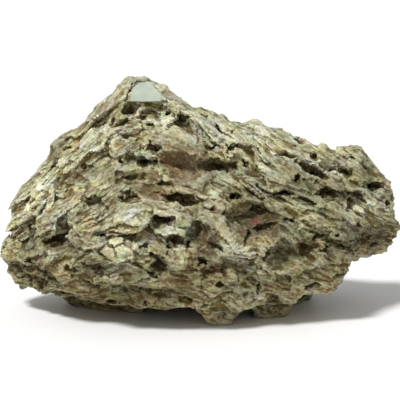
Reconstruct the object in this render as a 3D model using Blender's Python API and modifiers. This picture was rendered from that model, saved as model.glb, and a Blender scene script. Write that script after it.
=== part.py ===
"""A dragon stone: one weathered piece of stone, 300 mm long, which rests on five low feet.

Its masses are convex blocks fused into one body. An outline keeps the stone's front silhouette,
scallops and deep hollows are weathered into it along its bedding, and its feet are ground flat.
Metres, +Z up, the stone's front faces -Y, and the origin is under its middle, on the ground.
"""

import math

import bmesh
import bpy
from mathutils import Matrix, Vector
from mathutils.bvhtree import BVHTree

# ---------------------------------------------------------------------------------------------
# Driving dimensions
# ---------------------------------------------------------------------------------------------
MM = 0.001

# The front is laid out as an eye sees it: from 1.2 m away, 10 degrees above level.
EYE_DISTANCE = 1.2
EYE_ELEVATION = math.radians(10)
EYE_AIM = Vector((0, 0, 84 * MM))

BLOCK_VOXEL = 3.0 * MM  # the blocks are fused at this size
FIELD_VOXEL = 2.6 * MM  # the weathered surface is found at this size
SOLID_TRIANGLES = 9300
SHELL_SIZE = Vector((320 * MM, 204 * MM, 190 * MM))  # the space that holds the stone

# The unworn skin stands this far outside the blocks and the outline, and is then worn back.
SKIN_HEIGHT = 8 * MM
SKIN_HEIGHT_AT_GROUND = 1 * MM
TAPER_HEIGHT = 16 * MM  # the feet narrow towards the ground below this height
OUTLINE_SKIN_HEIGHT = 8.5 * MM
EDGE_ROUNDING = 5 * MM  # where the outline meets the blocks

# Scallops and broken slabs: how long along the bedding, how flat across it, and how deep.
LARGE_SCALLOP = (46 * MM, 0.55, 17 * MM)
SMALL_SCALLOP = (24 * MM, 0.55, 12 * MM)
BROKEN_SLAB = (24 * MM, 0.45, 4.5 * MM)
MEAN_WEAR = 6 * MM
QUIET_WEAR = 2.5 * MM
PIT_STEEPNESS = 4.0  # depth gained for each step in from a hollow's rim
BOWL_STEEPNESS = 2.2
SLAB_ROOT = 12 * MM  # how far a slab reaches into the stone behind its face
CUT_ROOT = 14 * MM  # how far the stone behind the cut face is filled
CUT_REACH = 18 * MM  # how far the stone in front of the cut face is taken away

# Bedding follows the stone's crest: it climbs the left face and falls along the right wing.
CREST_LEFT_SLOPE = 0.75
CREST_LEFT_HEIGHT = 205 * MM
CREST_RIGHT_SLOPE = -0.33
CREST_RIGHT_HEIGHT = 155 * MM
CREST_ROUNDING = 30 * MM
CREST_LOWEST = 50 * MM
BED_HEIGHT = 140 * MM
WING_BED_SLOPE = 0.25  # the beds of the wing fall this much more

# The silhouette of the front, in millimetres across and up from the point that the eye aims at.
OUTLINE = [
    (-52, 92), (-57, 88), (-61, 82), (-68, 76), (-75, 73), (-84, 64), (-90, 54), (-97, 55),
    (-105, 48), (-112, 39), (-120, 26), (-127, 17), (-135, 7), (-141, -2), (-142, -9),
    (-139, -16), (-146, -21), (-149, -30), (-147, -39), (-148, -45), (-145, -52), (-139, -60),
    (-135, -65), (-127, -66), (-124, -72), (-114, -74), (-105, -75), (-97, -79), (-86, -81),
    (-75, -82), (-66, -82), (-60, -79), (-51, -81), (-43, -82), (-39, -84), (-26, -85),
    (-21, -82), (-11, -82), (2, -81), (5, -86), (11, -88), (17, -91), (21, -91), (23, -89),
    (26, -84), (34, -82), (39, -80), (46, -84), (54, -87), (61, -85), (68, -79), (73, -71),
    (76, -68), (98, -68), (102, -64), (105, -61), (112, -59), (114, -54), (114, -47),
    (122, -44), (129, -38), (139, -35), (144, -32), (146, -23), (149, -19), (147, -14),
    (143, -7), (143, 0), (142, 7), (144, 12), (141, 19), (135, 17), (132, 23), (128, 25),
    (126, 30), (124, 34), (118, 40), (109, 41), (100, 40), (96, 42), (82, 44), (77, 43),
    (69, 47), (60, 52), (52, 55), (46, 57), (42, 58), (39, 58), (38, 53), (30, 55), (22, 57),
    (16, 61), (11, 64), (4, 67), (-7, 73), (-11, 77), (-19, 80), (-24, 84), (-31, 87),
    (-37, 89), (-43, 91), (-48, 90),
]

# The stone's masses. A front corner is (across, up) as the eye sees it and its depth, +Y away.
# A back corner is plain (x, y, z). All in millimetres. Feet reach below Z = 0, and are cut there.
MASSES = {
    "peak": {
        "front": [
            (-55, 97, 9), (-42, 96, 12), (-62, 85, 3), (-50, 88, -3), (-31, 89, 1),
            (-28, 76, -14), (-54, 76, -14), (-66, 68, -14), (-75, 52, -22), (-79, 38, -32),
            (-86, 26, -38), (-96, 15, -44), (-106, 4, -50), (-118, -15, -55), (-118, -30, -58),
            (-60, 10, -60), (-10, 40, -30), (-20, -10, -70), (-105, -55, -62), (-50, -35, -85),
            (-20, -60, -80), (20, -75, -68), (10, -50, -82), (30, -20, -70), (20, 50, -10),
            (-142, 0, 10), (-140, -50, -5), (-110, -74, -30), (-30, -82, -50),
        ],
        "back": [
            (-50, 13, 165), (-48, 22, 156), (-60, 48, 128), (-90, 42, 112), (-112, 46, 84), (-134, 38, 50),
            (-98, 68, 36), (-30, 78, 34), (-24, 58, 112), (30, 48, 114), (38, 72, 44),
            (-60, 40, 10), (30, 50, 10), (-100, 30, 14),
        ],
    },
    "left shoulder": {
        "front": [
            (-88, 55, 4), (-98, 56, 12), (-106, 48, 6), (-113, 37, -2), (-100, 30, -30),
            (-84, 36, -28), (-82, 48, -12), (-90, 56, 28), (-104, 46, 28), (-114, 34, 20),
        ],
        "back": [],
    },
    "left end": {
        "front": [
            (-150, -24, 10), (-150, -44, 8), (-142, -58, 4), (-130, -68, 0), (-126, -12, -10),
            (-118, -30, -46), (-118, -58, -40), (-138, -40, -20),
        ],
        "back": [(-132, 34, 40), (-128, 32, 24), (-124, 30, 60)],
    },
    "wing": {
        "front": [
            (0, 72, 0), (0, 60, -18), (60, 54, 2), (100, 43, 8), (122, 40, 12), (30, 20, -45),
            (40, 20, -45), (100, 10, -35), (112, -15, -36), (20, -30, -80), (75, -48, -62),
            (112, -45, -48), (100, -68, -40), (70, -78, -40), (30, -82, -55), (20, -70, -70),
            (130, -10, -15),
        ],
        "back": [
            (0, 62, 108), (58, 62, 84), (110, 52, 70), (124, 40, 88), (90, 58, 32),
            (20, 68, 22), (100, 20, 20),
        ],
    },
    "right end": {
        "front": [
            (100, 42, 8), (120, 40, 12), (135, 22, 10), (145, 10, 8), (150, -19, 6),
            (146, -33, 10), (114, -46, 0), (110, 10, -24), (125, 0, -18), (138, -14, -8),
            (120, -20, -22),
        ],
        "back": [(108, 48, 56), (138, 38, 66), (144, 26, 88), (122, 48, 96)],
    },
    "back shoulder": {
        "front": [],
        "back": [
            (-78, 56, 104), (-20, 68, 114), (24, 66, 98), (-64, 82, 66), (-8, 88, 74),
            (34, 82, 54), (-88, 60, 22), (-20, 80, 16), (42, 70, 14), (-40, 20, 60), (20, 20, 60),
        ],
    },
    "back of the wing": {
        "front": [],
        "back": [
            (60, 58, 82), (104, 64, 66), (84, 76, 46), (116, 56, 32), (70, 66, 14),
            (60, 20, 50), (110, 30, 60),
        ],
    },
    "front foot": {
        "front": [
            (-4, -75, -62), (35, -75, -60), (3, -83, -58), (29, -84, -56), (12, -93, -50),
            (21, -93, -48),
        ],
        "back": [
            (11, -46, -16), (21, -44, -16), (23, -20, -16), (8, -18, -16), (-8, -6, 26),
            (42, -6, 26),
        ],
    },
    "middle foot": {
        "front": [
            (34, -74, -40), (78, -69, -30), (42, -80, -34), (72, -77, -26), (50, -87, -22),
            (62, -87, -18),
        ],
        "back": [
            (46, -22, -16), (64, -20, -16), (48, 18, -16), (66, 16, -16), (34, -30, 22),
            (80, -28, 24), (36, 26, 22), (80, 24, 24),
        ],
    },
    "left foot": {
        "front": [],
        "back": [
            (-94, 36, -16), (-84, 16, -16), (-64, 6, -16), (-44, 6, -16), (-38, 26, -16),
            (-52, 50, -16), (-82, 50, -16), (-116, -22, 30), (-40, -40, 22), (-34, 54, 22),
            (-110, 50, 26),
        ],
    },
    "back left foot": {
        "front": [],
        "back": [
            (-38, 18, -16), (-14, 8, -16), (14, 16, -16), (22, 38, -16), (8, 62, -16),
            (-20, 68, -16), (-38, 48, -16), (-52, 0, 22), (38, 2, 22), (34, 76, 26),
            (-44, 76, 26),
        ],
    },
    "back right foot": {
        "front": [],
        "back": [
            (42, 22, -16), (60, 10, -16), (80, 20, -16), (86, 40, -16), (70, 58, -16),
            (48, 56, -16), (30, 2, 26), (96, 8, 26), (94, 64, 32), (32, 70, 30),
        ],
    },
}

# Hollows of the front, in millimetres and degrees:
# across, up, length, height, depth into the stone, and tilt (positive climbs to the right).
HOLLOWS = [
    (-52, 68, 14, 12, 18, 20), (-33, 71, 20, 6, 9, 0), (-50, 57, 20, 6, 4, 0),
    (-50, 48, 23, 8, 4, 0), (-33, 39, 10, 7, 7, -20), (-15, 26, 34, 20, 8, -22),
    (-41, 29, 11, 10, 15, 0), (-52, 17, 20, 11, 6, 0),
    (-52, 1, 18, 6, 12, 0), (-16, 2, 23, 9, 8, -3), (-77, -3, 20, 8, 6, -15),
    (14, 26, 32, 12, 14, -3), (24, 2, 15, 12, 9, 0), (40, -15, 44, 30, 10, -5),
    (46, -8, 14, 7, 15, 0), (52, -24, 20, 6, 13, 15), (62, -41, 29, 23, 8, -10),
    (80, -38, 22, 21, 6, -10), (10, -36, 20, 10, 8, 0), (7, -55, 14, 7, 6, 0),
    (35, -53, 15, 9, 6, 0), (56, -78, 14, 8, 6, 0), (86, 23, 26, 8, 10, -24),
    (105, 23, 21, 7, 8, -12), (98, 4, 17, 9, 13, -5), (133, 10, 17, 8, 9, -3),
    (115, -4, 12, 7, 7, 0), (124, -30, 12, 8, 7, 0), (118, -20, 13, 6, 6, -15),
    (96, -37, 12, 6, 5, -5), (-94, 38, 11, 8, 6, 40), (-100, 6, 15, 14, 6, 30),
    (-130, -23, 16, 7, 5, -15), (-105, -34, 29, 8, 10, 0), (-121, -50, 15, 7, 7, 0),
    (-97, -53, 12, 6, 9, 0), (-84, -49, 11, 8, 9, -10), (-77, -65, 17, 5, 8, 0),
    (-92, -73, 9, 6, 8, 0), (-65, -76, 11, 7, 10, 25), (-28, -15, 19, 9, 13, -3),
    (-33, -43, 13, 7, 6, 0), (-30, -52, 15, 10, 14, 0), (-18, -31, 13, 8, 9, 0),
    (0, -24, 15, 18, 7, 0), (-45, -61, 17, 6, 6, 5), (-10, -75, 13, 9, 7, 0),
]

# Slabs that stand proud of the front, each by its face's corners in millimetres:
# across, up, and how far the corner stands out towards the eye.
SLABS = [
    [(-49, 88, 1), (-37, 87, 1), (-29, 77, 4), (-30, 73, 7), (-51, 74, 7), (-53, 77, 6)],
    [(-57, 1, 0), (-44, 1, 1), (-35, -8, 5), (-38, -18, 13), (-50, -21, 15), (-61, -17, 11),
     (-61, -8, 5)],
    [(-77, -17, 2), (-71, -9, 0), (-62, -7, 1), (-61, -16, 6), (-68, -20, 7)],
    [(-76, -28, 3), (-60, -28, 3), (-48, -36, 8), (-49, -44, 12), (-62, -49, 13), (-73, -43, 10)],
    [(-36, -19, 0), (-19, -17, 0), (-8, -19, 1), (-9, -30, 7), (-25, -29, 8), (-34, -27, 7)],
    [(-17, -37, 2), (-10, -38, 2), (-7, -46, 7), (-10, -54, 6), (-17, -52, 4)],
    [(2, 8, 0), (18, 9, 1), (16, -1, 7), (8, -8, 8), (1, -5, 6)],
    [(-30, 12, 0), (-14, 12, 1), (-12, 7, 6), (-29, 6, 6)],
    [(-34, 54, 2), (-20, 56, 2), (0, 49, 3), (0, 34, 12), (-7, 31, 14), (-15, 37, 13), (-24, 42, 12),
     (-32, 47, 9)],
    [(-52, 66, 0), (-40, 64, 2), (-36, 61, 4), (-54, 61, 6)],
    [(76, 32, 4), (87, 30, 6), (104, 17, 7), (93, 19, 8), (80, 25, 7)],
    [(30, 6, 0), (41, 3, 1), (48, -2, 4), (40, -9, 8), (31, -3, 6)],
    [(61, 0, 1), (77, -2, 1), (86, -10, 4), (75, -11, 7), (64, -6, 7)],
    [(43, 34, 0), (57, 33, 0), (69, 19, 4), (65, 11, 7), (50, 9, 7), (45, 20, 4)],
    [(124, 1, -2), (139, 0, -2), (148, -13, 2), (141, -17, 6), (126, -9, 4)],
    [(102, -7, -2), (116, -7, 0), (123, -15, 6), (104, -16, 6)],
    [(10, -28, 1), (26, -33, 1), (46, -41, 4), (42, -45, 7), (24, -43, 8), (13, -36, 6)],
    [(40, -47, 2), (52, -52, 2), (57, -62, 6), (47, -61, 8), (41, -55, 7)],
    [(-118, -8, 1), (-106, -7, 1), (-105, -27, 7), (-117, -31, 7)],
    [(-113, 13, 1), (-106, 15, 1), (-108, -6, 6), (-117, -8, 4)],
    [(90, -19, 1), (99, -18, 1), (100, -24, 6), (89, -23, 6)],
    [(30, 23, 2), (36, 20, 2), (62, -6, 6), (57, -8, 7), (33, 15, 6)],
    [(-3, 22, 0), (2, 34, 0), (12, 31, 2), (8, 22, 6)],
    [(96, -44, 0), (106, -46, 1), (104, -55, 6), (94, -52, 4)],
    [(-108, -66, 0), (-94, -68, 0), (-84, -74, 4), (-100, -74, 6)],
    [(-92, 14, 0), (-84, 12, 1), (-82, 2, 6), (-92, 0, 7)],
]


# The flat cut near the peak: its corners across, up and in depth, all in one plane.
CUT_FACE = [
    (-47.5, 90, 1.4), (-37.5, 89, 0.2), (-29, 79.5, -10.7), (-28.5, 73.8, -17.2), (-52.5, 74, -17),
    (-50.5, 82, -7.8),
]

# Places of the front that wore little and stayed smooth, laid out like the hollows.
QUIET = [
    (-112, 14, 66, 20, 47), (-84, 46, 20, 18, 45), (10, 57, 70, 14, -27), (74, 35, 50, 12, -16),
    (-14, 42, 38, 20, -22), (-12, 22, 42, 30, -20), (-92, 2, 14, 26, 0), (56, 22, 30, 20, -45),
    (-50, -11, 26, 18, 0), (-62, -37, 24, 16, 0), (70, -40, 58, 36, -5), (118, 22, 24, 14, -25),
    (-60, 42, 18, 24, 0), (-116, -24, 16, 24, 0), (16, 0, 26, 14, -30), (30, -38, 30, 12, -30),
    (96, -14, 34, 12, -10), (-16, -42, 12, 18, 0), (-50, -60, 40, 12, 0), (20, -62, 30, 16, 0),
]

# ---------------------------------------------------------------------------------------------
# Places as the eye sees them
# ---------------------------------------------------------------------------------------------
EYE_UP = Vector((0, math.sin(EYE_ELEVATION), math.cos(EYE_ELEVATION)))
EYE = EYE_AIM + EYE_DISTANCE * Vector((0, -math.cos(EYE_ELEVATION), math.sin(EYE_ELEVATION)))


def on_view_plane(across, up):
    """The point of the upright plane through the aim that the eye sees at these millimetres."""
    return EYE_AIM + Vector((across * MM, 0, 0)) + EYE_UP * up * MM


def at_depth(across, up, depth):
    """The point on the same line of sight whose Y is depth, in millimetres."""
    sight = on_view_plane(across, up) - EYE
    return EYE + sight * ((depth * MM - EYE.y) / sight.y)


# ---------------------------------------------------------------------------------------------
# Meshes
# ---------------------------------------------------------------------------------------------
def empty_scene():
    for obj in list(bpy.data.objects):
        bpy.data.objects.remove(obj)


def new_collection(name):
    collection = bpy.data.collections.new(name)
    bpy.context.scene.collection.children.link(collection)
    return collection


def mesh_object(name, mesh, collection):
    obj = bpy.data.objects.new(name, mesh)
    collection.objects.link(obj)
    return obj


def object_from(name, bm, collection):
    mesh = bpy.data.meshes.new(name)
    bm.to_mesh(mesh)
    bm.free()
    return mesh_object(name, mesh, collection)


def as_helper(obj):
    obj.hide_render = True
    obj.display_type = "WIRE"
    return obj


def evaluated_mesh(obj):
    graph = bpy.context.evaluated_depsgraph_get()
    return bpy.data.meshes.new_from_object(obj.evaluated_get(graph))


def add_block(bm, corners):
    """Adds the convex block with these corners."""
    verts = [bm.verts.new(corner) for corner in corners]
    bmesh.ops.convex_hull(bm, input=verts)
    inside = [vert for vert in verts if not vert.link_faces]
    bmesh.ops.delete(bm, geom=inside, context="VERTS")


def make_blocks(collection):
    """The stone's masses as overlapping blocks, fused and rounded by modifiers."""
    bm = bmesh.new()
    for mass in MASSES.values():
        corners = [at_depth(*corner) for corner in mass["front"]]
        corners += [Vector(corner) * MM for corner in mass["back"]]
        add_block(bm, corners)
    blocks = object_from("dragon_stone", bm, collection)
    fuse = blocks.modifiers.new("fuse blocks", "REMESH")
    fuse.mode = "VOXEL"
    fuse.voxel_size = BLOCK_VOXEL
    rounding = blocks.modifiers.new("round corners", "SMOOTH")
    rounding.factor = 0.5
    rounding.iterations = 6
    return blocks


def make_outline(collection):
    """The cone of sight lines through the outline, which holds the whole stone."""
    near, far = 0.86, 1.14  # of the distance from the eye to its aim
    bm = bmesh.new()
    rim = [bm.verts.new(EYE.lerp(on_view_plane(*point), near)) for point in OUTLINE]
    cap = bm.faces.new(rim)
    extruded = bmesh.ops.extrude_face_region(bm, geom=[cap])["geom"]
    for vert in extruded:
        if isinstance(vert, bmesh.types.BMVert):
            vert.co = EYE.lerp(vert.co, far / near)
    bmesh.ops.recalc_face_normals(bm, faces=bm.faces)
    bmesh.ops.triangulate(bm, faces=bm.faces)
    return as_helper(object_from("outline", bm, collection))


def surface_point(surface, across, up):
    """Where the sight line through these millimetres meets the blocks, or nearly does."""
    target = on_view_plane(across, up)
    sight = (target - EYE).normalized()
    point, normal, _, _ = surface.ray_cast(EYE, sight)
    if point is None:
        point, normal, _, _ = surface.find_nearest(target)
    return point, normal, sight


def add_hollow(bm, surface, across, up, length, height, depth, tilt):
    """An egg that cuts one hollow: it lies along its tilt and leads in and up, under a roof."""
    point, normal, sight = surface_point(surface, across, up)
    inward = (sight * 0.8 - normal).normalized()
    inward = (inward + Vector((0, 0, 0.35))).normalized()
    along = Vector((math.cos(math.radians(tilt)), 0, 0)) + EYE_UP * math.sin(math.radians(tilt))
    along = (along - inward * along.dot(inward)).normalized()
    upward = inward.cross(along).normalized()
    matrix = Matrix((along * length / 2, inward * 24, upward * height / 2)) * MM
    matrix = matrix.transposed().to_4x4()
    matrix.translation = point
    bmesh.ops.create_icosphere(bm, subdivisions=2, radius=1, matrix=matrix)


def add_slab(bm, surface, corners):
    """A slab rooted in the stone behind its face."""
    verts = []
    for across, up, proud in corners:
        point, normal, sight = surface_point(surface, across, up)
        verts += [bm.verts.new(point - sight * proud * MM), bm.verts.new(point + sight * SLAB_ROOT)]
    bmesh.ops.convex_hull(bm, input=verts)


def make_cut(name, reach, collection):
    """A block from the cut face along the lines of sight, forwards if reach is negative."""
    bm = bmesh.new()
    verts = []
    for corner in CUT_FACE:
        point = at_depth(*corner)
        verts += [bm.verts.new(point), bm.verts.new(point + (point - EYE).normalized() * reach)]
    bmesh.ops.convex_hull(bm, input=verts)
    bmesh.ops.recalc_face_normals(bm, faces=bm.faces)
    return as_helper(object_from(name, bm, collection))


def make_features(surface_mesh, collection):
    """The steep pits, the shallow bowls, the quiet places and the raised slabs, fused by kind."""
    surface = BVHTree.FromPolygons(
        [vert.co for vert in surface_mesh.vertices],
        [face.vertices[:] for face in surface_mesh.polygons],
    )
    kinds = {name: bmesh.new() for name in ("pits", "bowls", "slabs", "quiet")}
    for hollow in HOLLOWS:
        height, depth = hollow[3], hollow[4]
        add_hollow(kinds["pits" if depth > height * 0.75 else "bowls"], surface, *hollow)
    for across, up, length, height, tilt in QUIET:
        add_hollow(kinds["quiet"], surface, across, up, length, height, 0, tilt)
    for corners in SLABS:
        add_slab(kinds["slabs"], surface, corners)
    features = {}
    for name, bm in kinds.items():
        bmesh.ops.recalc_face_normals(bm, faces=bm.faces)
        features[name] = as_helper(object_from(name, bm, collection))
        fuse = features[name].modifiers.new("fuse", "REMESH")
        fuse.mode = "VOXEL"
        fuse.voxel_size = 1.0 * MM
    features["cut root"] = make_cut("cut root", CUT_ROOT, collection)
    features["cut away"] = make_cut("cut away", -CUT_REACH, collection)
    return features


def make_ground(collection):
    """The block below Z = 0 that leaves the feet flat."""
    bm = bmesh.new()
    bmesh.ops.create_cube(bm, size=1)
    bmesh.ops.scale(bm, verts=bm.verts, vec=(0.5, 0.4, 0.1))
    bmesh.ops.translate(bm, verts=bm.verts, vec=(0, 0, -0.05))
    return as_helper(object_from("ground", bm, collection))


# ---------------------------------------------------------------------------------------------
# Weathering, as a distance field in Geometry Nodes: negative inside the stone
# ---------------------------------------------------------------------------------------------
class Tree:
    """A Geometry Nodes tree whose nodes are made by calls."""

    def __init__(self, name):
        self.group = bpy.data.node_groups.new(name, "GeometryNodeTree")
        interface = self.group.interface
        interface.new_socket("Geometry", in_out="INPUT", socket_type="NodeSocketGeometry")
        interface.new_socket("Geometry", in_out="OUTPUT", socket_type="NodeSocketGeometry")

    def node(self, kind, inputs, output=0, **settings):
        node = self.group.nodes.new(kind)
        for name, value in settings.items():
            setattr(node, name, value)
        for key, value in inputs.items():
            if isinstance(value, bpy.types.NodeSocket):
                self.group.links.new(value, node.inputs[key])
            else:
                node.inputs[key].default_value = value
        return node.outputs[output]

    def math(self, operation, *values):
        return self.node("ShaderNodeMath", dict(enumerate(values)), operation=operation)

    def vector(self, operation, *values, output=0):
        inputs = dict(enumerate(values))
        return self.node("ShaderNodeVectorMath", inputs, output, operation=operation)

    def scaled(self, vector, factor):
        inputs = {0: vector, "Scale": factor}
        return self.node("ShaderNodeVectorMath", inputs, operation="SCALE")

    def split(self, vector):
        return self.node("ShaderNodeSeparateXYZ", {0: vector}).node.outputs

    def ranged(self, value, low, high, to_low=0.0, to_high=1.0):
        inputs = {"Value": value, "From Min": low, "From Max": high,
                  "To Min": to_low, "To Max": to_high}
        return self.node("ShaderNodeMapRange", inputs)

    def noise(self, place, scale, detail, output=0):
        inputs = {"Vector": place, "Scale": scale, "Detail": detail}
        return self.node("ShaderNodeTexNoise", inputs, output)

    def wander(self, place, scale, reach, detail):
        """A vector that wanders by about half of reach either way."""
        colour = self.noise(place, scale, detail, output=1)
        return self.scaled(self.vector("SUBTRACT", colour, (0.5, 0.5, 0.5)), reach)

    def object_mesh(self, obj):
        inputs = {0: obj}
        return self.node("GeometryNodeObjectInfo", inputs, "Geometry", transform_space="RELATIVE")

    def distance_to(self, mesh, place, voxel, reach):
        """The signed distance from place to a closed mesh, out to reach."""
        inputs = {0: mesh, 1: voxel, 2: math.ceil(reach / voxel)}
        grid = self.node("GeometryNodeMeshToSDFGrid", inputs)
        return self.node("GeometryNodeSampleGrid", {0: grid, 1: place})


def bed_place(tree, place):
    """The place with its height counted along the bedding instead of straight up."""
    x, y, z = tree.split(place)[:3]
    left = tree.math("MULTIPLY_ADD", x, CREST_LEFT_SLOPE, CREST_LEFT_HEIGHT)
    right = tree.math("MULTIPLY_ADD", x, CREST_RIGHT_SLOPE, CREST_RIGHT_HEIGHT)
    crest = tree.math("SMOOTH_MIN", left, right, CREST_ROUNDING)
    crest = tree.math("MAXIMUM", crest, CREST_LOWEST)
    height = tree.math("MULTIPLY", tree.math("DIVIDE", z, crest), BED_HEIGHT)
    wing = tree.math("SMOOTH_MAX", x, 0.0, CREST_ROUNDING)
    height = tree.math("MULTIPLY_ADD", wing, WING_BED_SLOPE, height)
    return tree.node("ShaderNodeCombineXYZ", {0: x, 1: y, 2: height})


def scallops(tree, place, size, seed, shallowest):
    """Shingled scallops: each is deepest under its upper lip, and no two are equally deep."""
    length, flatness, depth = size
    shape = (1 / length, 1.2 / length, 1 / (length * flatness))
    bend = tree.wander(place, 1.3 / length, 0.55 * length, 2)
    place = tree.vector("ADD", place, bend)
    place = tree.vector("MULTIPLY_ADD", place, shape, (seed * 3.1, seed * 1.7, seed * 2.3))
    cells = tree.node("ShaderNodeTexVoronoi", {"Vector": place, "Scale": 1.0}).node.outputs
    reach = tree.math("MULTIPLY", cells["Distance"], cells["Distance"])
    dish = tree.math("MAXIMUM", tree.math("SUBTRACT", 1.0, reach), 0.0)
    above = tree.split(tree.vector("SUBTRACT", place, cells["Position"]))[2]
    lip = tree.ranged(above, -0.5, 0.45, 0.3, 1.3)
    gain = tree.ranged(tree.split(cells["Color"])[0], 0.0, 1.0, shallowest, 1.2)
    return tree.math("MULTIPLY", tree.math("MULTIPLY", dish, lip), tree.math("MULTIPLY", gain, depth))


def broken_slabs(tree, place, size, seed):
    """Broken slabs: flat faces, each with its own slant and set back by its own step."""
    length, flatness, depth = size
    shape = (1 / length, 1.0 / length, 1 / (length * flatness))
    place = tree.vector("ADD", place, tree.wander(place, 1.2 / length, 0.45 * length, 3))
    place = tree.vector("MULTIPLY_ADD", place, shape, (seed * 3.7, seed * 1.3, seed * 2.9))
    cells = tree.node("ShaderNodeTexVoronoi", {"Vector": place, "Scale": 1.0}).node.outputs
    across = tree.vector("SUBTRACT", place, cells["Position"])
    lean = tree.vector("SUBTRACT", cells["Color"], (0.5, 0.5, 0.25))
    slant = tree.vector("DOT_PRODUCT", across, lean, output=1)
    step = tree.split(cells["Color"])[0]
    return tree.math("MULTIPLY", tree.math("MULTIPLY_ADD", slant, 1.6, step), depth)


def worn_stone(tree, blocks, outline, pits, bowls, slabs, quiet, cut_root, cut_away):
    """The distance to the weathered stone."""
    place = tree.node("GeometryNodeInputPosition", {})
    height = tree.split(place)[2]
    bed = bed_place(tree, place)
    broad = tree.wander(bed, 22, 15 * MM, 1)
    fine = tree.wander(place, 60, 3 * MM, 1)

    # the unworn skin: the blocks, cut back to the outline
    rough_place = tree.vector("ADD", place, tree.vector("ADD", tree.scaled(broad, 0.5), fine))
    form = tree.distance_to(blocks, rough_place, 2 * MM, 40 * MM)
    grown = tree.ranged(height, 0.0, TAPER_HEIGHT, SKIN_HEIGHT_AT_GROUND, SKIN_HEIGHT)
    form = tree.math("SUBTRACT", form, grown)
    edge_place = tree.vector("ADD", place, fine)
    edge = tree.distance_to(outline, edge_place, 2 * MM, 24 * MM)
    grown = tree.math("SUBTRACT", edge, OUTLINE_SKIN_HEIGHT)
    skin = tree.math("SMOOTH_MAX", form, grown, EDGE_ROUNDING)

    # wear, which is uneven
    bed = tree.vector("ADD", bed, tree.vector("ADD", broad, fine))
    wear = scallops(tree, bed, LARGE_SCALLOP, 1, 0.4)
    wear = tree.math("MAXIMUM", wear, scallops(tree, bed, SMALL_SCALLOP, 2, -0.1))
    wear = tree.math("ADD", wear, broken_slabs(tree, bed, BROKEN_SLAB, 2))
    uneven = tree.ranged(tree.noise(place, 20, 2), 0.38, 0.62, 0.45, 1.1)
    wear = tree.math("MULTIPLY_ADD", wear, uneven, tree.ranged(uneven, 0.45, 1.1, 3 * MM, 0.0))

    # little is worn away at the outline, in bowls and in quiet places, and nothing underneath
    ragged = tree.vector("ADD", edge_place, tree.wander(place, 130, 9 * MM, 3))
    bowl = tree.math("SUBTRACT", tree.distance_to(bowls, ragged, 1 * MM, 12 * MM), 1 * MM)
    still = tree.distance_to(quiet, ragged, 1 * MM, 8 * MM)
    kept = tree.math("MULTIPLY", tree.ranged(bowl, -4 * MM, 0.0, 0.15, 1.0),
                     tree.ranged(still, -4 * MM, 2 * MM, 0.3, 1.0))
    kept = tree.math("MULTIPLY", kept, tree.ranged(edge, -16 * MM, 0.0, 1.0, 0.15))
    mean = tree.ranged(still, -2 * MM, 4 * MM, QUIET_WEAR, MEAN_WEAR)
    mean = tree.math("MAXIMUM", mean, tree.ranged(edge, -12 * MM, -4 * MM, 0.0, MEAN_WEAR))
    wear = tree.math("MULTIPLY_ADD", tree.math("SUBTRACT", wear, MEAN_WEAR), kept, mean)
    feet = tree.ranged(height, -6 * MM, 10 * MM)
    worn = tree.math("MULTIPLY_ADD", wear, feet, skin)

    # slabs stand out of the worn stone, and hollows go into whatever is there
    slab = tree.math("ADD", tree.distance_to(slabs, edge_place, 1 * MM, 8 * MM), 1.5 * MM)
    pit = tree.math("SUBTRACT", tree.distance_to(pits, ragged, 1 * MM, 8 * MM), 0.8 * MM)
    stone = tree.math("MINIMUM", worn, slab)
    for hollow, steepness in ((pit, PIT_STEEPNESS), (bowl, BOWL_STEEPNESS)):
        inside = tree.math("MAXIMUM", tree.math("MULTIPLY", hollow, -1.0), 0.0)
        cut = tree.math("MULTIPLY_ADD", inside, steepness, stone)
        evened = tree.ranged(inside, 0.0, 0.2 * MM, 1.0, 1 / math.hypot(1, steepness))
        stone = tree.math("MULTIPLY", cut, evened)

    # one piece has split off near the peak and left a flat face
    root = tree.distance_to(cut_root, place, 1 * MM, 6 * MM)
    away = tree.distance_to(cut_away, place, 1 * MM, 6 * MM)
    stone = tree.math("MINIMUM", stone, root)
    return tree.math("MAXIMUM", stone, tree.math("MULTIPLY", away, -1.0))


def largest_body(tree, mesh):
    """The mesh without the loose crumbs that weathering leaves."""
    island = tree.node("GeometryNodeInputMeshIsland", {})
    size = tree.node("GeometryNodeAccumulateField", {0: 1.0, 1: island}, "Total")
    inputs = {0: mesh, 2: size}
    largest = tree.node("GeometryNodeAttributeStatistic", inputs, "Max")
    smaller = tree.node("FunctionNodeCompare", {0: size, 1: largest}, operation="LESS_THAN")
    return tree.node("GeometryNodeDeleteGeometry", {0: mesh, 1: smaller})


def make_weathering(outline, features, material):
    """Turns the blocks that it is given into the weathered stone."""
    tree = Tree("weathering")
    blocks = tree.node("NodeGroupInput", {})
    helpers = (outline, *features.values())
    stone = worn_stone(tree, blocks, *[tree.object_mesh(helper) for helper in helpers])
    low = Vector((-SHELL_SIZE.x / 2, -SHELL_SIZE.y / 2, -8 * MM))
    high = low + SHELL_SIZE
    inputs = {
        "Density": tree.math("MULTIPLY", stone, -1.0),
        "Background": -1.0,
        "Min": low,
        "Max": high,
        "Resolution X": round(SHELL_SIZE.x / FIELD_VOXEL),
        "Resolution Y": round(SHELL_SIZE.y / FIELD_VOXEL),
        "Resolution Z": round(SHELL_SIZE.z / FIELD_VOXEL),
    }
    volume = tree.node("GeometryNodeVolumeCube", inputs)
    mesh = tree.node("GeometryNodeVolumeToMesh", {"Volume": volume, "Threshold": 0.0})
    mesh = largest_body(tree, mesh)
    mesh = tree.node("GeometryNodeSetMaterial", {"Geometry": mesh, "Material": material})
    output = tree.group.nodes.new("NodeGroupOutput")
    tree.group.links.new(mesh, output.inputs[0])
    return tree.group


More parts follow.
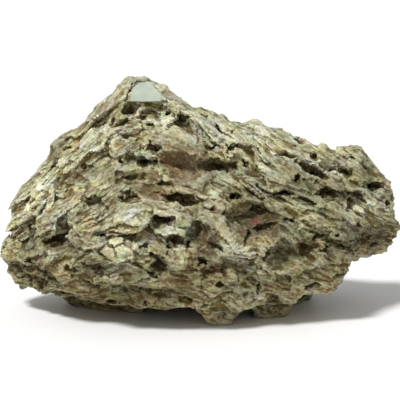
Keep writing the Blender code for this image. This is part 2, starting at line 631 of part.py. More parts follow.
# ---------------------------------------------------------------------------------------------
# The stone
# ---------------------------------------------------------------------------------------------
def stone_material():
    """Dry, dull, greenish tan stone."""
    material = bpy.data.materials.new("weathered stone")
    material.use_nodes = True
    shader = material.node_tree.nodes["Principled BSDF"]
    shader.inputs["Base Color"].default_value = (0.25, 0.23, 0.14, 1)
    shader.inputs["Roughness"].default_value = 0.9
    shader.inputs["Metallic"].default_value = 0.0
    return material


def make_stone():
    parts = new_collection("dragon stone")
    helpers = new_collection("cutters")
    stone = make_blocks(parts)
    outline = make_outline(helpers)
    features = make_features(evaluated_mesh(stone), helpers)
    material = stone_material()
    stone.data.materials.append(material)

    weathering = stone.modifiers.new("weathering", "NODES")
    weathering.node_group = make_weathering(outline, features, material)

    found = evaluated_mesh(stone)
    triangles = sum(len(face.vertices) - 2 for face in found.polygons)
    facets = stone.modifiers.new("facets", "DECIMATE")
    facets.ratio = SOLID_TRIANGLES / triangles

    flat_feet = stone.modifiers.new("flat feet", "BOOLEAN")
    flat_feet.operation = "DIFFERENCE"
    flat_feet.object = make_ground(helpers)


empty_scene()
make_stone()
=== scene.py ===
"""A dragon stone on a plain pale floor: one weathered stone with a peak, a long wing and pits."""

import math

import bmesh
import bpy
import numpy as np
from mathutils import Matrix, Vector
from mathutils.bvhtree import BVHTree


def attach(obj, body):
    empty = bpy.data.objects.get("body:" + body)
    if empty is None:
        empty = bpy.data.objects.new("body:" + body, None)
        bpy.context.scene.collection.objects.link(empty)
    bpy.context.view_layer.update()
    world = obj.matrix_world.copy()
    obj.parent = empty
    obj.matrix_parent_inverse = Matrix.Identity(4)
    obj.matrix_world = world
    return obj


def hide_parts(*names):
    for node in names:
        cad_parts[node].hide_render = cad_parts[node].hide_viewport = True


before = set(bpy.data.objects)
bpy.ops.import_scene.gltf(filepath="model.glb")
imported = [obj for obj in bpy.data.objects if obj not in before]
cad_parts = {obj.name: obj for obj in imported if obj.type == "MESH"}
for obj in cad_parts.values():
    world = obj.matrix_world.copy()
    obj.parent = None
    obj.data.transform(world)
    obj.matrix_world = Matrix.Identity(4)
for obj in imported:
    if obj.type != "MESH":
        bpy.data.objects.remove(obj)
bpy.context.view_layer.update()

# ---------------------------------------------------------------------------------------------
# The dragon stone: its masses
# The stone is one natural lump of layered, greenish tan mudstone, about 300 mm long. Its bulk
# is made of overlapping convex masses, fused and rounded into one body on low feet.
# ---------------------------------------------------------------------------------------------
MM = 0.001
MASS_VOXEL = 3 * MM
CORNER_ROUNDING = 0.5
ROUNDING_STEPS = 6

# The front is laid out as an eye sees it: from 1.2 m away, 10 degrees above level.
EYE_DISTANCE = 1.2
EYE_ELEVATION = math.radians(10)
EYE_AIM = Vector((0, 0, 84 * MM))
EYE_UP = Vector((0, math.sin(EYE_ELEVATION), math.cos(EYE_ELEVATION)))
EYE = EYE_AIM + EYE_DISTANCE * Vector((0, -math.cos(EYE_ELEVATION), math.sin(EYE_ELEVATION)))


def on_view_plane(across, up):
    """The point of the upright plane through the aim that the eye sees at these millimetres."""
    return EYE_AIM + Vector((across * MM, 0, 0)) + EYE_UP * up * MM


def at_depth(across, up, depth):
    """The point on the same line of sight whose Y is depth, in millimetres."""
    sight = on_view_plane(across, up) - EYE
    return EYE + sight * ((depth * MM - EYE.y) / sight.y)


# Corners of the masses in millimetres. Front corners are across, up and at a depth, as the eye
# sees them; back corners are plain X, Y and Z.
MASSES = {
    "peak": {
        "front": [
            (-55, 97, 9), (-42, 96, 12), (-62, 85, 3), (-50, 88, -3), (-31, 89, 1), (-28, 76, -14),
            (-54, 76, -14), (-66, 68, -14), (-75, 52, -22), (-79, 38, -32), (-86, 26, -38),
            (-96, 15, -44), (-106, 4, -50), (-118, -15, -55), (-118, -30, -58), (-60, 10, -60),
            (-10, 40, -30), (-20, -10, -70), (-105, -55, -62), (-50, -35, -85), (-20, -60, -80),
            (20, -75, -68), (10, -50, -82), (30, -20, -70), (20, 50, -10), (-142, 0, 10),
            (-140, -50, -5), (-110, -74, -30), (-30, -82, -50),
        ],
        "back": [
            (-50, 13, 165), (-48, 22, 156), (-60, 48, 128), (-90, 42, 112), (-112, 46, 84),
            (-134, 38, 50), (-98, 68, 36), (-30, 78, 34), (-24, 58, 112), (30, 48, 114),
            (38, 72, 44), (-60, 40, 10), (30, 50, 10), (-100, 30, 14),
        ],
    },
    "left shoulder": {
        "front": [
            (-88, 55, 4), (-98, 56, 12), (-106, 48, 6), (-113, 37, -2), (-100, 30, -30),
            (-84, 36, -28), (-82, 48, -12), (-90, 56, 28), (-104, 46, 28), (-114, 34, 20),
        ],
        "back": [],
    },
    "left end": {
        "front": [
            (-150, -24, 10), (-150, -44, 8), (-142, -58, 4), (-130, -68, 0), (-126, -12, -10),
            (-118, -30, -46), (-118, -58, -40), (-138, -40, -20),
        ],
        "back": [
            (-132, 34, 40), (-128, 32, 24), (-124, 30, 60),
        ],
    },
    "wing": {
        "front": [
            (0, 72, 0), (0, 60, -18), (60, 54, 2), (100, 43, 8), (122, 40, 12), (30, 20, -45),
            (40, 20, -45), (100, 10, -35), (112, -15, -36), (20, -30, -80), (75, -48, -62),
            (112, -45, -48), (100, -68, -40), (70, -78, -40), (30, -82, -55), (20, -70, -70),
            (130, -10, -15),
        ],
        "back": [
            (0, 62, 108), (58, 62, 84), (110, 52, 70), (124, 40, 88), (90, 58, 32), (20, 68, 22),
            (100, 20, 20),
        ],
    },
    "right end": {
        "front": [
            (100, 42, 8), (120, 40, 12), (135, 22, 10), (145, 10, 8), (150, -19, 6),
            (146, -33, 10), (114, -46, 0), (110, 10, -24), (125, 0, -18), (138, -14, -8),
            (120, -20, -22),
        ],
        "back": [
            (108, 48, 56), (138, 38, 66), (144, 26, 88), (122, 48, 96),
        ],
    },
    "back shoulder": {
        "front": [],
        "back": [
            (-78, 56, 104), (-20, 68, 114), (24, 66, 98), (-64, 82, 66), (-8, 88, 74),
            (34, 82, 54), (-88, 60, 22), (-20, 80, 16), (42, 70, 14), (-40, 20, 60), (20, 20, 60),
        ],
    },
    "back of the wing": {
        "front": [],
        "back": [
            (60, 58, 82), (104, 64, 66), (84, 76, 46), (116, 56, 32), (70, 66, 14), (60, 20, 50),
            (110, 30, 60),
        ],
    },
    "front foot": {
        "front": [
            (-4, -75, -62), (35, -75, -60), (3, -83, -58), (29, -84, -56), (12, -93, -50),
            (21, -93, -48),
        ],
        "back": [
            (11, -46, -16), (21, -44, -16), (23, -20, -16), (8, -18, -16), (-8, -6, 26),
            (42, -6, 26),
        ],
    },
    "middle foot": {
        "front": [
            (34, -74, -40), (78, -69, -30), (42, -80, -34), (72, -77, -26), (50, -87, -22),
            (62, -87, -18),
        ],
        "back": [
            (46, -22, -16), (64, -20, -16), (48, 18, -16), (66, 16, -16), (34, -30, 22),
            (80, -28, 24), (36, 26, 22), (80, 24, 24),
        ],
    },
    "left foot": {
        "front": [],
        "back": [
            (-94, 36, -16), (-84, 16, -16), (-64, 6, -16), (-44, 6, -16), (-38, 26, -16),
            (-52, 50, -16), (-82, 50, -16), (-116, -22, 30), (-40, -40, 22), (-34, 54, 22),
            (-110, 50, 26),
        ],
    },
    "back left foot": {
        "front": [],
        "back": [
            (-38, 18, -16), (-14, 8, -16), (14, 16, -16), (22, 38, -16), (8, 62, -16),
            (-20, 68, -16), (-38, 48, -16), (-52, 0, 22), (38, 2, 22), (34, 76, 26), (-44, 76, 26),
        ],
    },
    "back right foot": {
        "front": [],
        "back": [
            (42, 22, -16), (60, 10, -16), (80, 20, -16), (86, 40, -16), (70, 58, -16),
            (48, 56, -16), (30, 2, 26), (96, 8, 26), (94, 64, 32), (32, 70, 30),
        ],
    },
}


def object_from(name, bm):
    """A new object that takes the shape of bm, and frees it."""
    mesh = bpy.data.meshes.new(name)
    bm.to_mesh(mesh)
    bm.free()
    obj = bpy.data.objects.new(name, mesh)
    bpy.context.scene.collection.objects.link(obj)
    return obj


def evaluated_mesh(obj):
    """A plain mesh of the object as its modifiers leave it."""
    graph = bpy.context.evaluated_depsgraph_get()
    return bpy.data.meshes.new_from_object(obj.evaluated_get(graph))


def add_remesh(obj, voxel):
    """Fuses the object's overlapping closed shapes."""
    remesh = obj.modifiers.new("fuse", "REMESH")
    remesh.mode = "VOXEL"
    remesh.voxel_size = voxel


def make_masses():
    """The stone's masses as overlapping convex hulls, fused and rounded."""
    bm = bmesh.new()
    for mass in MASSES.values():
        corners = [at_depth(*corner) for corner in mass["front"]]
        corners += [Vector(corner) * MM for corner in mass["back"]]
        verts = [bm.verts.new(corner) for corner in corners]
        bmesh.ops.convex_hull(bm, input=verts)
        inside = [vert for vert in verts if not vert.link_faces]
        bmesh.ops.delete(bm, geom=inside, context="VERTS")
    masses = object_from("masses", bm)
    add_remesh(masses, MASS_VOXEL)
    rounding = masses.modifiers.new("round corners", "SMOOTH")
    rounding.factor = CORNER_ROUNDING
    rounding.iterations = ROUNDING_STEPS
    masses.data = evaluated_mesh(masses)
    masses.modifiers.clear()
    return masses


masses = make_masses()

# ---------------------------------------------------------------------------------------------
# The dragon stone: the edge of its front
# From the front the stone has a peak on the left, a long wing falling to the right and low
# gaps between its feet. A cone of sight lines through the edge's points holds the masses in.
# ---------------------------------------------------------------------------------------------
# The cone's ends, as shares of the distance from the eye to its aim.
CONE_START = 0.86
CONE_END = 1.14

# The edge in millimetres across and up from the point that the eye aims at.
OUTLINE = [
    (-52, 92), (-57, 88), (-61, 82), (-68, 76), (-75, 73), (-84, 64), (-90, 54), (-97, 55),
    (-105, 48), (-112, 39), (-120, 26), (-127, 17), (-135, 7), (-141, -2), (-142, -9), (-139, -16),
    (-146, -21), (-149, -30), (-147, -39), (-148, -45), (-145, -52), (-139, -60), (-135, -65),
    (-127, -66), (-124, -72), (-114, -74), (-105, -75), (-97, -79), (-86, -81), (-75, -82),
    (-66, -82), (-60, -79), (-51, -81), (-43, -82), (-39, -84), (-26, -85), (-21, -82), (-11, -82),
    (2, -81), (5, -86), (11, -88), (17, -91), (21, -91), (23, -89), (26, -84), (34, -82),
    (39, -80), (46, -84), (54, -87), (61, -85), (68, -79), (73, -71), (76, -68), (98, -68),
    (102, -64), (105, -61), (112, -59), (114, -54), (114, -47), (122, -44), (129, -38), (139, -35),
    (144, -32), (146, -23), (149, -19), (147, -14), (143, -7), (143, 0), (142, 7), (144, 12),
    (141, 19), (135, 17), (132, 23), (128, 25), (126, 30), (124, 34), (118, 40), (109, 41),
    (100, 40), (96, 42), (82, 44), (77, 43), (69, 47), (60, 52), (52, 55), (46, 57), (42, 58),
    (39, 58), (38, 53), (30, 55), (22, 57), (16, 61), (11, 64), (4, 67), (-7, 73), (-11, 77),
    (-19, 80), (-24, 84), (-31, 87), (-37, 89), (-43, 91), (-48, 90),
]


def make_outline():
    """The closed cone of sight lines through the outline."""
    bm = bmesh.new()
    rim = [bm.verts.new(EYE.lerp(on_view_plane(*point), CONE_START)) for point in OUTLINE]
    cap = bm.faces.new(rim)
    extruded = bmesh.ops.extrude_face_region(bm, geom=[cap])["geom"]
    for vert in extruded:
        if isinstance(vert, bmesh.types.BMVert):
            vert.co = EYE.lerp(vert.co, CONE_END / CONE_START)
    bmesh.ops.recalc_face_normals(bm, faces=bm.faces)
    bmesh.ops.triangulate(bm, faces=bm.faces)
    return object_from("outline", bm)


outline = make_outline()

# ---------------------------------------------------------------------------------------------
# The dragon stone: hollows, slabs, quiet places and the split face
# Soft beds have washed out into pits and bowls, hard ones stand out as slabs, some places are
# hardly worn, and one piece has split off near the peak. Each is a closed shape set on the front.
# ---------------------------------------------------------------------------------------------
FEATURE_VOXEL = 0.8 * MM
SLAB_ROOT = 12 * MM
SPLIT_ROOT = 14 * MM
SPLIT_CLEARANCE = 18 * MM
HOLLOW_REACH = 24  # millimetres that an egg leads into the stone
HOLLOW_ALONG_SIGHT = 0.8  # how far an egg leans from the stone's own normal to the sight line
HOLLOW_CLIMB = 0.35  # how steeply it climbs inwards
PIT_DEPTH = 0.75  # of its height, past which a hollow is a steep pit and not a bowl

# Hollows of the front, in millimetres and degrees: across, up, length, height, depth, which
# tells the steep pits from the bowls, and tilt, which is positive where it climbs to the right.
HOLLOWS = [
    (-53, 81, 15, 2, 6, 68), (-65, -34, 12, 1.6, 5, -48), (-52, 68, 12, 11, 16, 20),
    (-33, 71, 16, 4, 2.5, 0), (-37, 64, 15, 7, 5, 0), (-44, 62, 9, 2, 5, 0),
    (-22, 65, 6, 5, 6, -10), (-12, 63, 9, 4, 6, -25), (-74, 58, 3, 5, 6, 0), (-67, 59, 4, 5, 6, 0),
    (-37, 55, 6, 4, 5, 0), (-50, 57, 20, 6, 3, 0), (-50, 48, 23, 8, 3, 0),
    (-33, 39, 10, 7, 7, -20), (-15, 26, 34, 20, 5, -22), (-41, 29, 10, 9, 14, 0),
    (-33, 28, 5, 3, 6, 0), (-61, 29, 4, 4, 8, 0), (-69, 32, 9, 5, 4, 0), (-52, 17, 20, 11, 5, 0),
    (-52, 1, 17, 4, 11, 0), (-55, 6, 6, 3, 3, 0), (-25, 13, 12, 3, 6, -5), (-16, 2, 23, 9, 7, -3),
    (-8, -3, 15, 5, 5, 0), (-77, -3, 20, 8, 5, -15), (14, 26, 32, 11, 12, -3),
    (35, 28, 9, 3, 6, -60), (22, 39, 5, 2, 5, 80), (26, 40, 5, 2, 5, 80), (9, 39, 11, 2, 5, 0),
    (16, 53, 17, 3, 5, -50), (24, 52, 3, 3, 5, 0), (3, 64, 8, 2, 3, -20), (74, 44, 6, 4, 5, -20),
    (65, 34, 12, 2, 4, -8), (24, 2, 15, 12, 8, 0), (26, 2, 8, 5, 12, 0), (73, 15, 5, 5, 9, 0),
    (65, 5, 18, 4, 8, -8), (40, -15, 44, 30, 8, -5), (46, -8, 14, 6, 12, 0),
    (29, -16, 8, 4, 10, 0), (52, -24, 20, 5, 10, 15), (38, -31, 8, 4, 8, 10),
    (70, -16, 5, 4, 8, 0), (65, -15, 4, 3, 5, 0), (62, -41, 29, 23, 7, -10),
    (80, -38, 22, 21, 4, -10), (50, -42, 8, 7, 6, 0), (61, -34, 2.5, 2.5, 6, 0),
    (10, -36, 20, 10, 6, 0), (2, -48, 8, 4, 8, 0), (7, -55, 13, 6, 4, 0), (15, -61, 6, 2, 5, 0),
    (35, -53, 15, 9, 5, 0), (62, -58, 6, 4, 6, 0), (44, -67, 5, 4, 7, 0), (34, -70, 7, 2, 5, 30),
    (41, -73, 3, 2, 4, 0), (56, -78, 14, 8, 5, 0), (5, -79, 6, 3, 6, 0), (86, 23, 26, 7, 9, -24),
    (105, 23, 21, 6, 8, -12), (86, 33, 8, 5, 6, -20), (90, 13, 6, 2, 5, -20),
    (98, 4, 17, 8, 11, -5), (133, 10, 17, 7, 8, -3), (116, 4, 9, 2, 5, 0), (115, -4, 12, 6, 6, 0),
    (141, -4, 4, 4, 4, 0), (124, -28, 8, 5, 6, 0), (118, -32, 6, 5, 5, 0),
    (130, -31, 7, 4, 5, -10), (118, -37, 2, 2, 3, 0), (118, -20, 12, 5, 4, -15),
    (103, -27, 5, 2, 5, 0), (91, -28, 15, 3, 4, 0), (96, -37, 12, 5, 4, -5),
    (103, -54, 8, 2, 6, 12), (93, -49, 9, 2, 4, -75), (110, -37, 6, 2, 4, -45),
    (85, -64, 13, 4, 4, 0), (-103, 40, 7, 2, 5, 25), (-94, 38, 10, 7, 5, 40),
    (-88, 25, 3, 5, 6, 0), (-114, 12, 6, 2, 5, 35), (-124, -1, 8, 2, 6, 30),
    (-100, 6, 15, 14, 5, 30), (-123, -11, 6, 3, 5, 35), (-130, -23, 15, 6, 4, -15),
    (-125, -29, 5, 2, 4, 0), (-145, -27, 4, 5, 4, 0), (-146, -35, 4, 6, 4, 0),
    (-105, -34, 29, 8, 8, 0), (-125, -46, 10, 4, 5, -5), (-121, -53, 12, 5, 5, 0),
    (-97, -53, 11, 5, 8, 0), (-84, -49, 10, 7, 7, -10), (-76, -52, 11, 8, 5, -20),
    (-77, -65, 17, 4, 7, 0), (-92, -73, 8, 5, 7, 0), (-130, -57, 8, 3, 4, 0),
    (-65, -76, 10, 6, 9, 25), (-72, -28, 9, 2, 6, 0), (-63, -28, 8, 2, 5, 10),
    (-54, -26, 11, 3, 5, -5), (-28, -15, 18, 8, 11, -3), (-41, -37, 6, 2, 5, 10),
    (-33, -43, 13, 6, 5, 0), (-30, -52, 14, 9, 12, 0), (-18, -31, 13, 8, 8, 0),
    (-8, -34, 5, 5, 7, 0), (-23, -38, 3, 3, 5, 0), (0, -24, 15, 18, 5, 0), (-45, -61, 17, 4, 5, 5),
    (-25, -64, 5, 2, 4, 0), (-14, -66, 3, 3, 4, 0), (-10, -75, 12, 8, 5, 0),
    (-40, -77, 3, 3, 4, 0), (-34, -78, 3, 2, 4, 0), (-21, -77, 8, 3, 4, 0),
]

# Slabs that stand proud of the front, each by its face's corners in millimetres:
# across, up, and how far the corner stands out towards the eye.
SLABS = [
    [(-49, 88, 1), (-37, 87, 1), (-29, 77, 4), (-30, 73, 7), (-51, 74, 7), (-53, 77, 6)],
    [(-57, 1, 0), (-44, 1, 1), (-35, -8, 5), (-38, -18, 13), (-50, -21, 15), (-61, -17, 11),
     (-61, -8, 5)],
    [(-77, -17, 2), (-71, -9, 0), (-62, -7, 1), (-61, -16, 6), (-68, -20, 7)],
    [(-76, -28, 3), (-60, -28, 3), (-48, -36, 8), (-49, -44, 12), (-62, -49, 13), (-73, -43, 10)],
    [(-36, -19, 0), (-19, -17, 0), (-8, -19, 1), (-9, -30, 7), (-25, -29, 8), (-34, -27, 7)],
    [(-17, -37, 2), (-10, -38, 2), (-7, -46, 7), (-10, -54, 6), (-17, -52, 4)],
    [(2, 8, 0), (18, 9, 1), (16, -1, 7), (8, -8, 8), (1, -5, 6)],
    [(-30, 12, 0), (-14, 12, 1), (-12, 7, 6), (-29, 6, 6)],
    [(-34, 54, 2), (-20, 56, 2), (0, 49, 3), (0, 34, 12), (-7, 31, 14), (-15, 37, 13),
     (-24, 42, 12), (-32, 47, 9)],
    [(-52, 66, 0), (-40, 64, 2), (-36, 61, 4), (-54, 61, 6)],
    [(76, 32, 4), (87, 30, 6), (104, 17, 7), (93, 19, 8), (80, 25, 7)],
    [(30, 6, 0), (41, 3, 1), (48, -2, 4), (40, -9, 8), (31, -3, 6)],
    [(61, 0, 1), (77, -2, 1), (86, -10, 4), (75, -11, 7), (64, -6, 7)],
    [(43, 34, 0), (57, 33, 0), (69, 19, 4), (65, 11, 7), (50, 9, 7), (45, 20, 4)],
    [(124, 1, -2), (139, 0, -2), (148, -13, 2), (141, -17, 6), (126, -9, 4)],
    [(102, -7, -2), (116, -7, 0), (123, -15, 6), (104, -16, 6)],
    [(10, -28, 1), (26, -33, 1), (46, -41, 4), (42, -45, 7), (24, -43, 8), (13, -36, 6)],
    [(40, -47, 2), (52, -52, 2), (57, -62, 6), (47, -61, 8), (41, -55, 7)],
    [(-118, -8, 1), (-106, -7, 1), (-105, -27, 7), (-117, -31, 7)],
    [(-113, 13, 1), (-106, 15, 1), (-108, -6, 6), (-117, -8, 4)],
    [(90, -19, 1), (99, -18, 1), (100, -24, 6), (89, -23, 6)],
    [(30, 23, 2), (36, 20, 2), (62, -6, 6), (57, -8, 7), (33, 15, 6)],
    [(-3, 22, 0), (2, 34, 0), (12, 31, 2), (8, 22, 6)],
    [(96, -44, 0), (106, -46, 1), (104, -55, 6), (94, -52, 4)],
    [(-108, -66, 0), (-94, -68, 0), (-84, -74, 4), (-100, -74, 6)],
    [(-92, 14, 0), (-84, 12, 1), (-82, 2, 6), (-92, 0, 7)],
]

# The flat face near the peak: its corners across, up and in depth, all in one plane.
SPLIT_FACE = [
    (-47.5, 90, 1.4), (-37.5, 89, 0.2), (-29, 79.5, -10.7), (-28.5, 73.8, -17.2), (-52.5, 74, -17),
    (-50.5, 82, -7.8),
]

# Places of the front that wore little and stayed smooth: across, up, length, height and tilt.
QUIET = [
    (-112, 14, 66, 20, 47), (-84, 46, 20, 18, 45), (10, 57, 70, 14, -27), (74, 35, 50, 12, -16),
    (-14, 42, 38, 20, -22), (-12, 22, 42, 30, -20), (-92, 2, 14, 26, 0), (56, 22, 30, 20, -45),
    (-50, -11, 26, 18, 0), (-62, -37, 24, 16, 0), (70, -40, 58, 36, -5), (118, 22, 24, 14, -25),
    (-60, 42, 18, 24, 0), (-116, -24, 16, 24, 0), (16, 0, 26, 14, -30), (30, -38, 30, 12, -30),
    (96, -14, 34, 12, -10), (-16, -42, 12, 18, 0), (-50, -60, 40, 12, 0), (20, -62, 30, 16, 0),
    (18, -25, 50, 18, -42),
]


def surface_point(surface, across, up):
    """Where the sight line through these millimetres meets the masses, or nearly does."""
    target = on_view_plane(across, up)
    sight = (target - EYE).normalized()
    point, normal, _, _ = surface.ray_cast(EYE, sight)
    if point is None:
        point, normal, _, _ = surface.find_nearest(target)
    return point, normal, sight


def add_hollow(bm, surface, across, up, length, height, tilt):
    """An egg that lies along its tilt and leads in and up, under a roof."""
    point, normal, sight = surface_point(surface, across, up)
    inward = (sight * HOLLOW_ALONG_SIGHT - normal).normalized()
    inward = (inward + Vector((0, 0, HOLLOW_CLIMB))).normalized()
    along = Vector((math.cos(math.radians(tilt)), 0, 0)) + EYE_UP * math.sin(math.radians(tilt))
    along = (along - inward * along.dot(inward)).normalized()
    upward = inward.cross(along).normalized()
    matrix = Matrix((along * length / 2, inward * HOLLOW_REACH, upward * height / 2)) * MM
    matrix = matrix.transposed().to_4x4()
    matrix.translation = point
    bmesh.ops.create_icosphere(bm, subdivisions=2, radius=1, matrix=matrix)


def add_slab(bm, surface, corners):
    """A slab rooted in the stone behind its face."""
    verts = []
    for across, up, proud in corners:
        point, _, sight = surface_point(surface, across, up)
        verts.append(bm.verts.new(point - sight * proud * MM))
        verts.append(bm.verts.new(point + sight * SLAB_ROOT))
    bmesh.ops.convex_hull(bm, input=verts)


def make_split(name, reach):
    """A block from the split face along the sight lines, towards the eye if reach is negative."""
    bm = bmesh.new()
    verts = []
    for corner in SPLIT_FACE:
        point = at_depth(*corner)
        verts.append(bm.verts.new(point))
        verts.append(bm.verts.new(point + (point - EYE).normalized() * reach))
    bmesh.ops.convex_hull(bm, input=verts)
    bmesh.ops.recalc_face_normals(bm, faces=bm.faces)
    return object_from(name, bm)


def make_features(masses):
    """The steep pits, the shallow bowls, the quiet places and the slabs, each kind fused."""
    surface = BVHTree.FromPolygons(
        [vert.co for vert in masses.data.vertices],
        [face.vertices[:] for face in masses.data.polygons],
    )
    kinds = {name: bmesh.new() for name in ("Pits", "Bowls", "Slabs", "Quiet places")}
    for across, up, length, height, depth, tilt in HOLLOWS:
        kind = "Pits" if depth > height * PIT_DEPTH else "Bowls"
        add_hollow(kinds[kind], surface, across, up, length, height, tilt)
    for across, up, length, height, tilt in QUIET:
        add_hollow(kinds["Quiet places"], surface, across, up, length, height, tilt)
    for corners in SLABS:
        add_slab(kinds["Slabs"], surface, corners)
    features = {}
    for name, bm in kinds.items():
        bmesh.ops.recalc_face_normals(bm, faces=bm.faces)
        features[name] = object_from(name, bm)
        add_remesh(features[name], FEATURE_VOXEL)
    features["Split root"] = make_split("Split root", SPLIT_ROOT)
    features["Split off"] = make_split("Split off", -SPLIT_CLEARANCE)
    return features


features = make_features(masses)

# ---------------------------------------------------------------------------------------------
# The dragon stone: its colour and finish
# Bare, dull mudstone: greenish tan with pale crests, brown hollows, fine dark and pale beds,
# and rust, ochre, pink and green stains. The split face is fresh, smooth and grey green. Light
# and shade are partly painted in: a painted highlight on crests and on faces turned up, and
# painted shade on faces turned down, towards the foot and over the dirt in hollows and pits.
# ---------------------------------------------------------------------------------------------
# Some of these colours paint light and shade: the top light on faces turned up is painted light,
# the crest colour is partly a worn edge and partly a painted highlight, the colours of faces turned
# down, of the foot and of deep cavities are painted shade, and the hollow, crease and pit colours
# are brown dirt darkened as painted shade.
COLOURS = {
    "tan": (0.26, 0.22, 0.105), "greenish tan": (0.25, 0.235, 0.125),
    "dark bed": (0.19, 0.145, 0.08), "pale bed": (0.38, 0.36, 0.19),
    "freckle": (0.17, 0.13, 0.07), "painted top light": (0.37, 0.39, 0.30),
    "painted underside shade": (0.15, 0.10, 0.04), "foot": (0.22, 0.15, 0.04),
    "hollow": (0.135, 0.082, 0.018), "crest": (0.52, 0.50, 0.34),
    "crease": (0.105, 0.064, 0.01), "pit": (0.10, 0.06, 0.009),
    "dark thread": (0.11, 0.08, 0.03), "pale thread": (0.56, 0.55, 0.40),
    "deep": (0.125, 0.095, 0.05), "tan stain": (0.30, 0.21, 0.12),
    "red": (0.31, 0.135, 0.09), "split face": (0.33, 0.375, 0.30),
    "split face sheen": (0.42, 0.46, 0.385),
}

# Stains that lie both where they are named and where a noise of their own is high: the shift
# and the scale of the noise, where it begins and is full, and the stain's strength and colour.
NOISY_STAINS = {
    "green": ((3.1, 0.4, 1.7), 34, 0.56, 0.7, 0.7, (0.265, 0.275, 0.115)),
    "ochre": ((0.7, 2.4, 5.7), 40, 0.6, 0.72, 0.7, (0.30, 0.195, 0.07)),
    "pink": ((6.2, 1.4, 0.7), 46, 0.64, 0.75, 0.6, (0.36, 0.20, 0.12)),
    "brown": ((1.2, 7.4, 2.7), 40, 0.58, 0.7, 0.75, (0.195, 0.125, 0.045)),
    "pale": ((2.2, 3.4, 8.7), 40, 0.58, 0.7, 0.75, (0.56, 0.56, 0.42)),
}

# Scales of the stone's noises, in waves a metre; those along the beds are finer upwards.
PATCHES = 22
BLOTCHES = 60
SHEEN = 90
FRECKLES = 190
SPECKS = 600
GRIT = 1500
BEDS = (30, 30, 200)
LAMINAE = (60, 60, 420)
THREADS = (45, 45, 170)
DARK_THREADS_SEED = 3.6
PALE_THREADS_SEED = 8.1
BUMP_HEIGHT = 1.2 * MM
SHINE = 0.3


class Nodes:
    """A node tree, of geometry or of a material, whose nodes are made by calls."""

    def __init__(self, tree):
        self.group = tree

    def node(self, kind, inputs, output=0, **settings):
        """Adds a node, links or sets its inputs, and returns one of its outputs."""
        node = self.group.nodes.new(kind)
        for name, value in settings.items():
            setattr(node, name, value)
        for key, value in inputs.items():
            if isinstance(value, bpy.types.NodeSocket):
                self.group.links.new(value, node.inputs[key])
            else:
                node.inputs[key].default_value = value
        return node.outputs[output]

    def math(self, operation, *values):
        return self.node("ShaderNodeMath", dict(enumerate(values)), operation=operation)

    def product(self, *values):
        """All the values multiplied."""
        result = values[0]
        for value in values[1:]:
            result = self.math("MULTIPLY", result, value)
        return result

    def vector(self, operation, *values, output=0):
        inputs = dict(enumerate(values))
        return self.node("ShaderNodeVectorMath", inputs, output, operation=operation)

    def split(self, vector):
        return self.node("ShaderNodeSeparateXYZ", {0: vector}).node.outputs

    def noise(self, place, scale, detail, output=0):
        inputs = {"Vector": place, "Scale": scale, "Detail": detail}
        return self.node("ShaderNodeTexNoise", inputs, output)

    def ranged(self, value, low, high, to_low=0.0, to_high=1.0):
        """The value moved from one range to the other, and held within it."""
        inputs = {"Value": value, "From Min": low, "From Max": high,
                  "To Min": to_low, "To Max": to_high}
        return self.node("ShaderNodeMapRange", inputs)


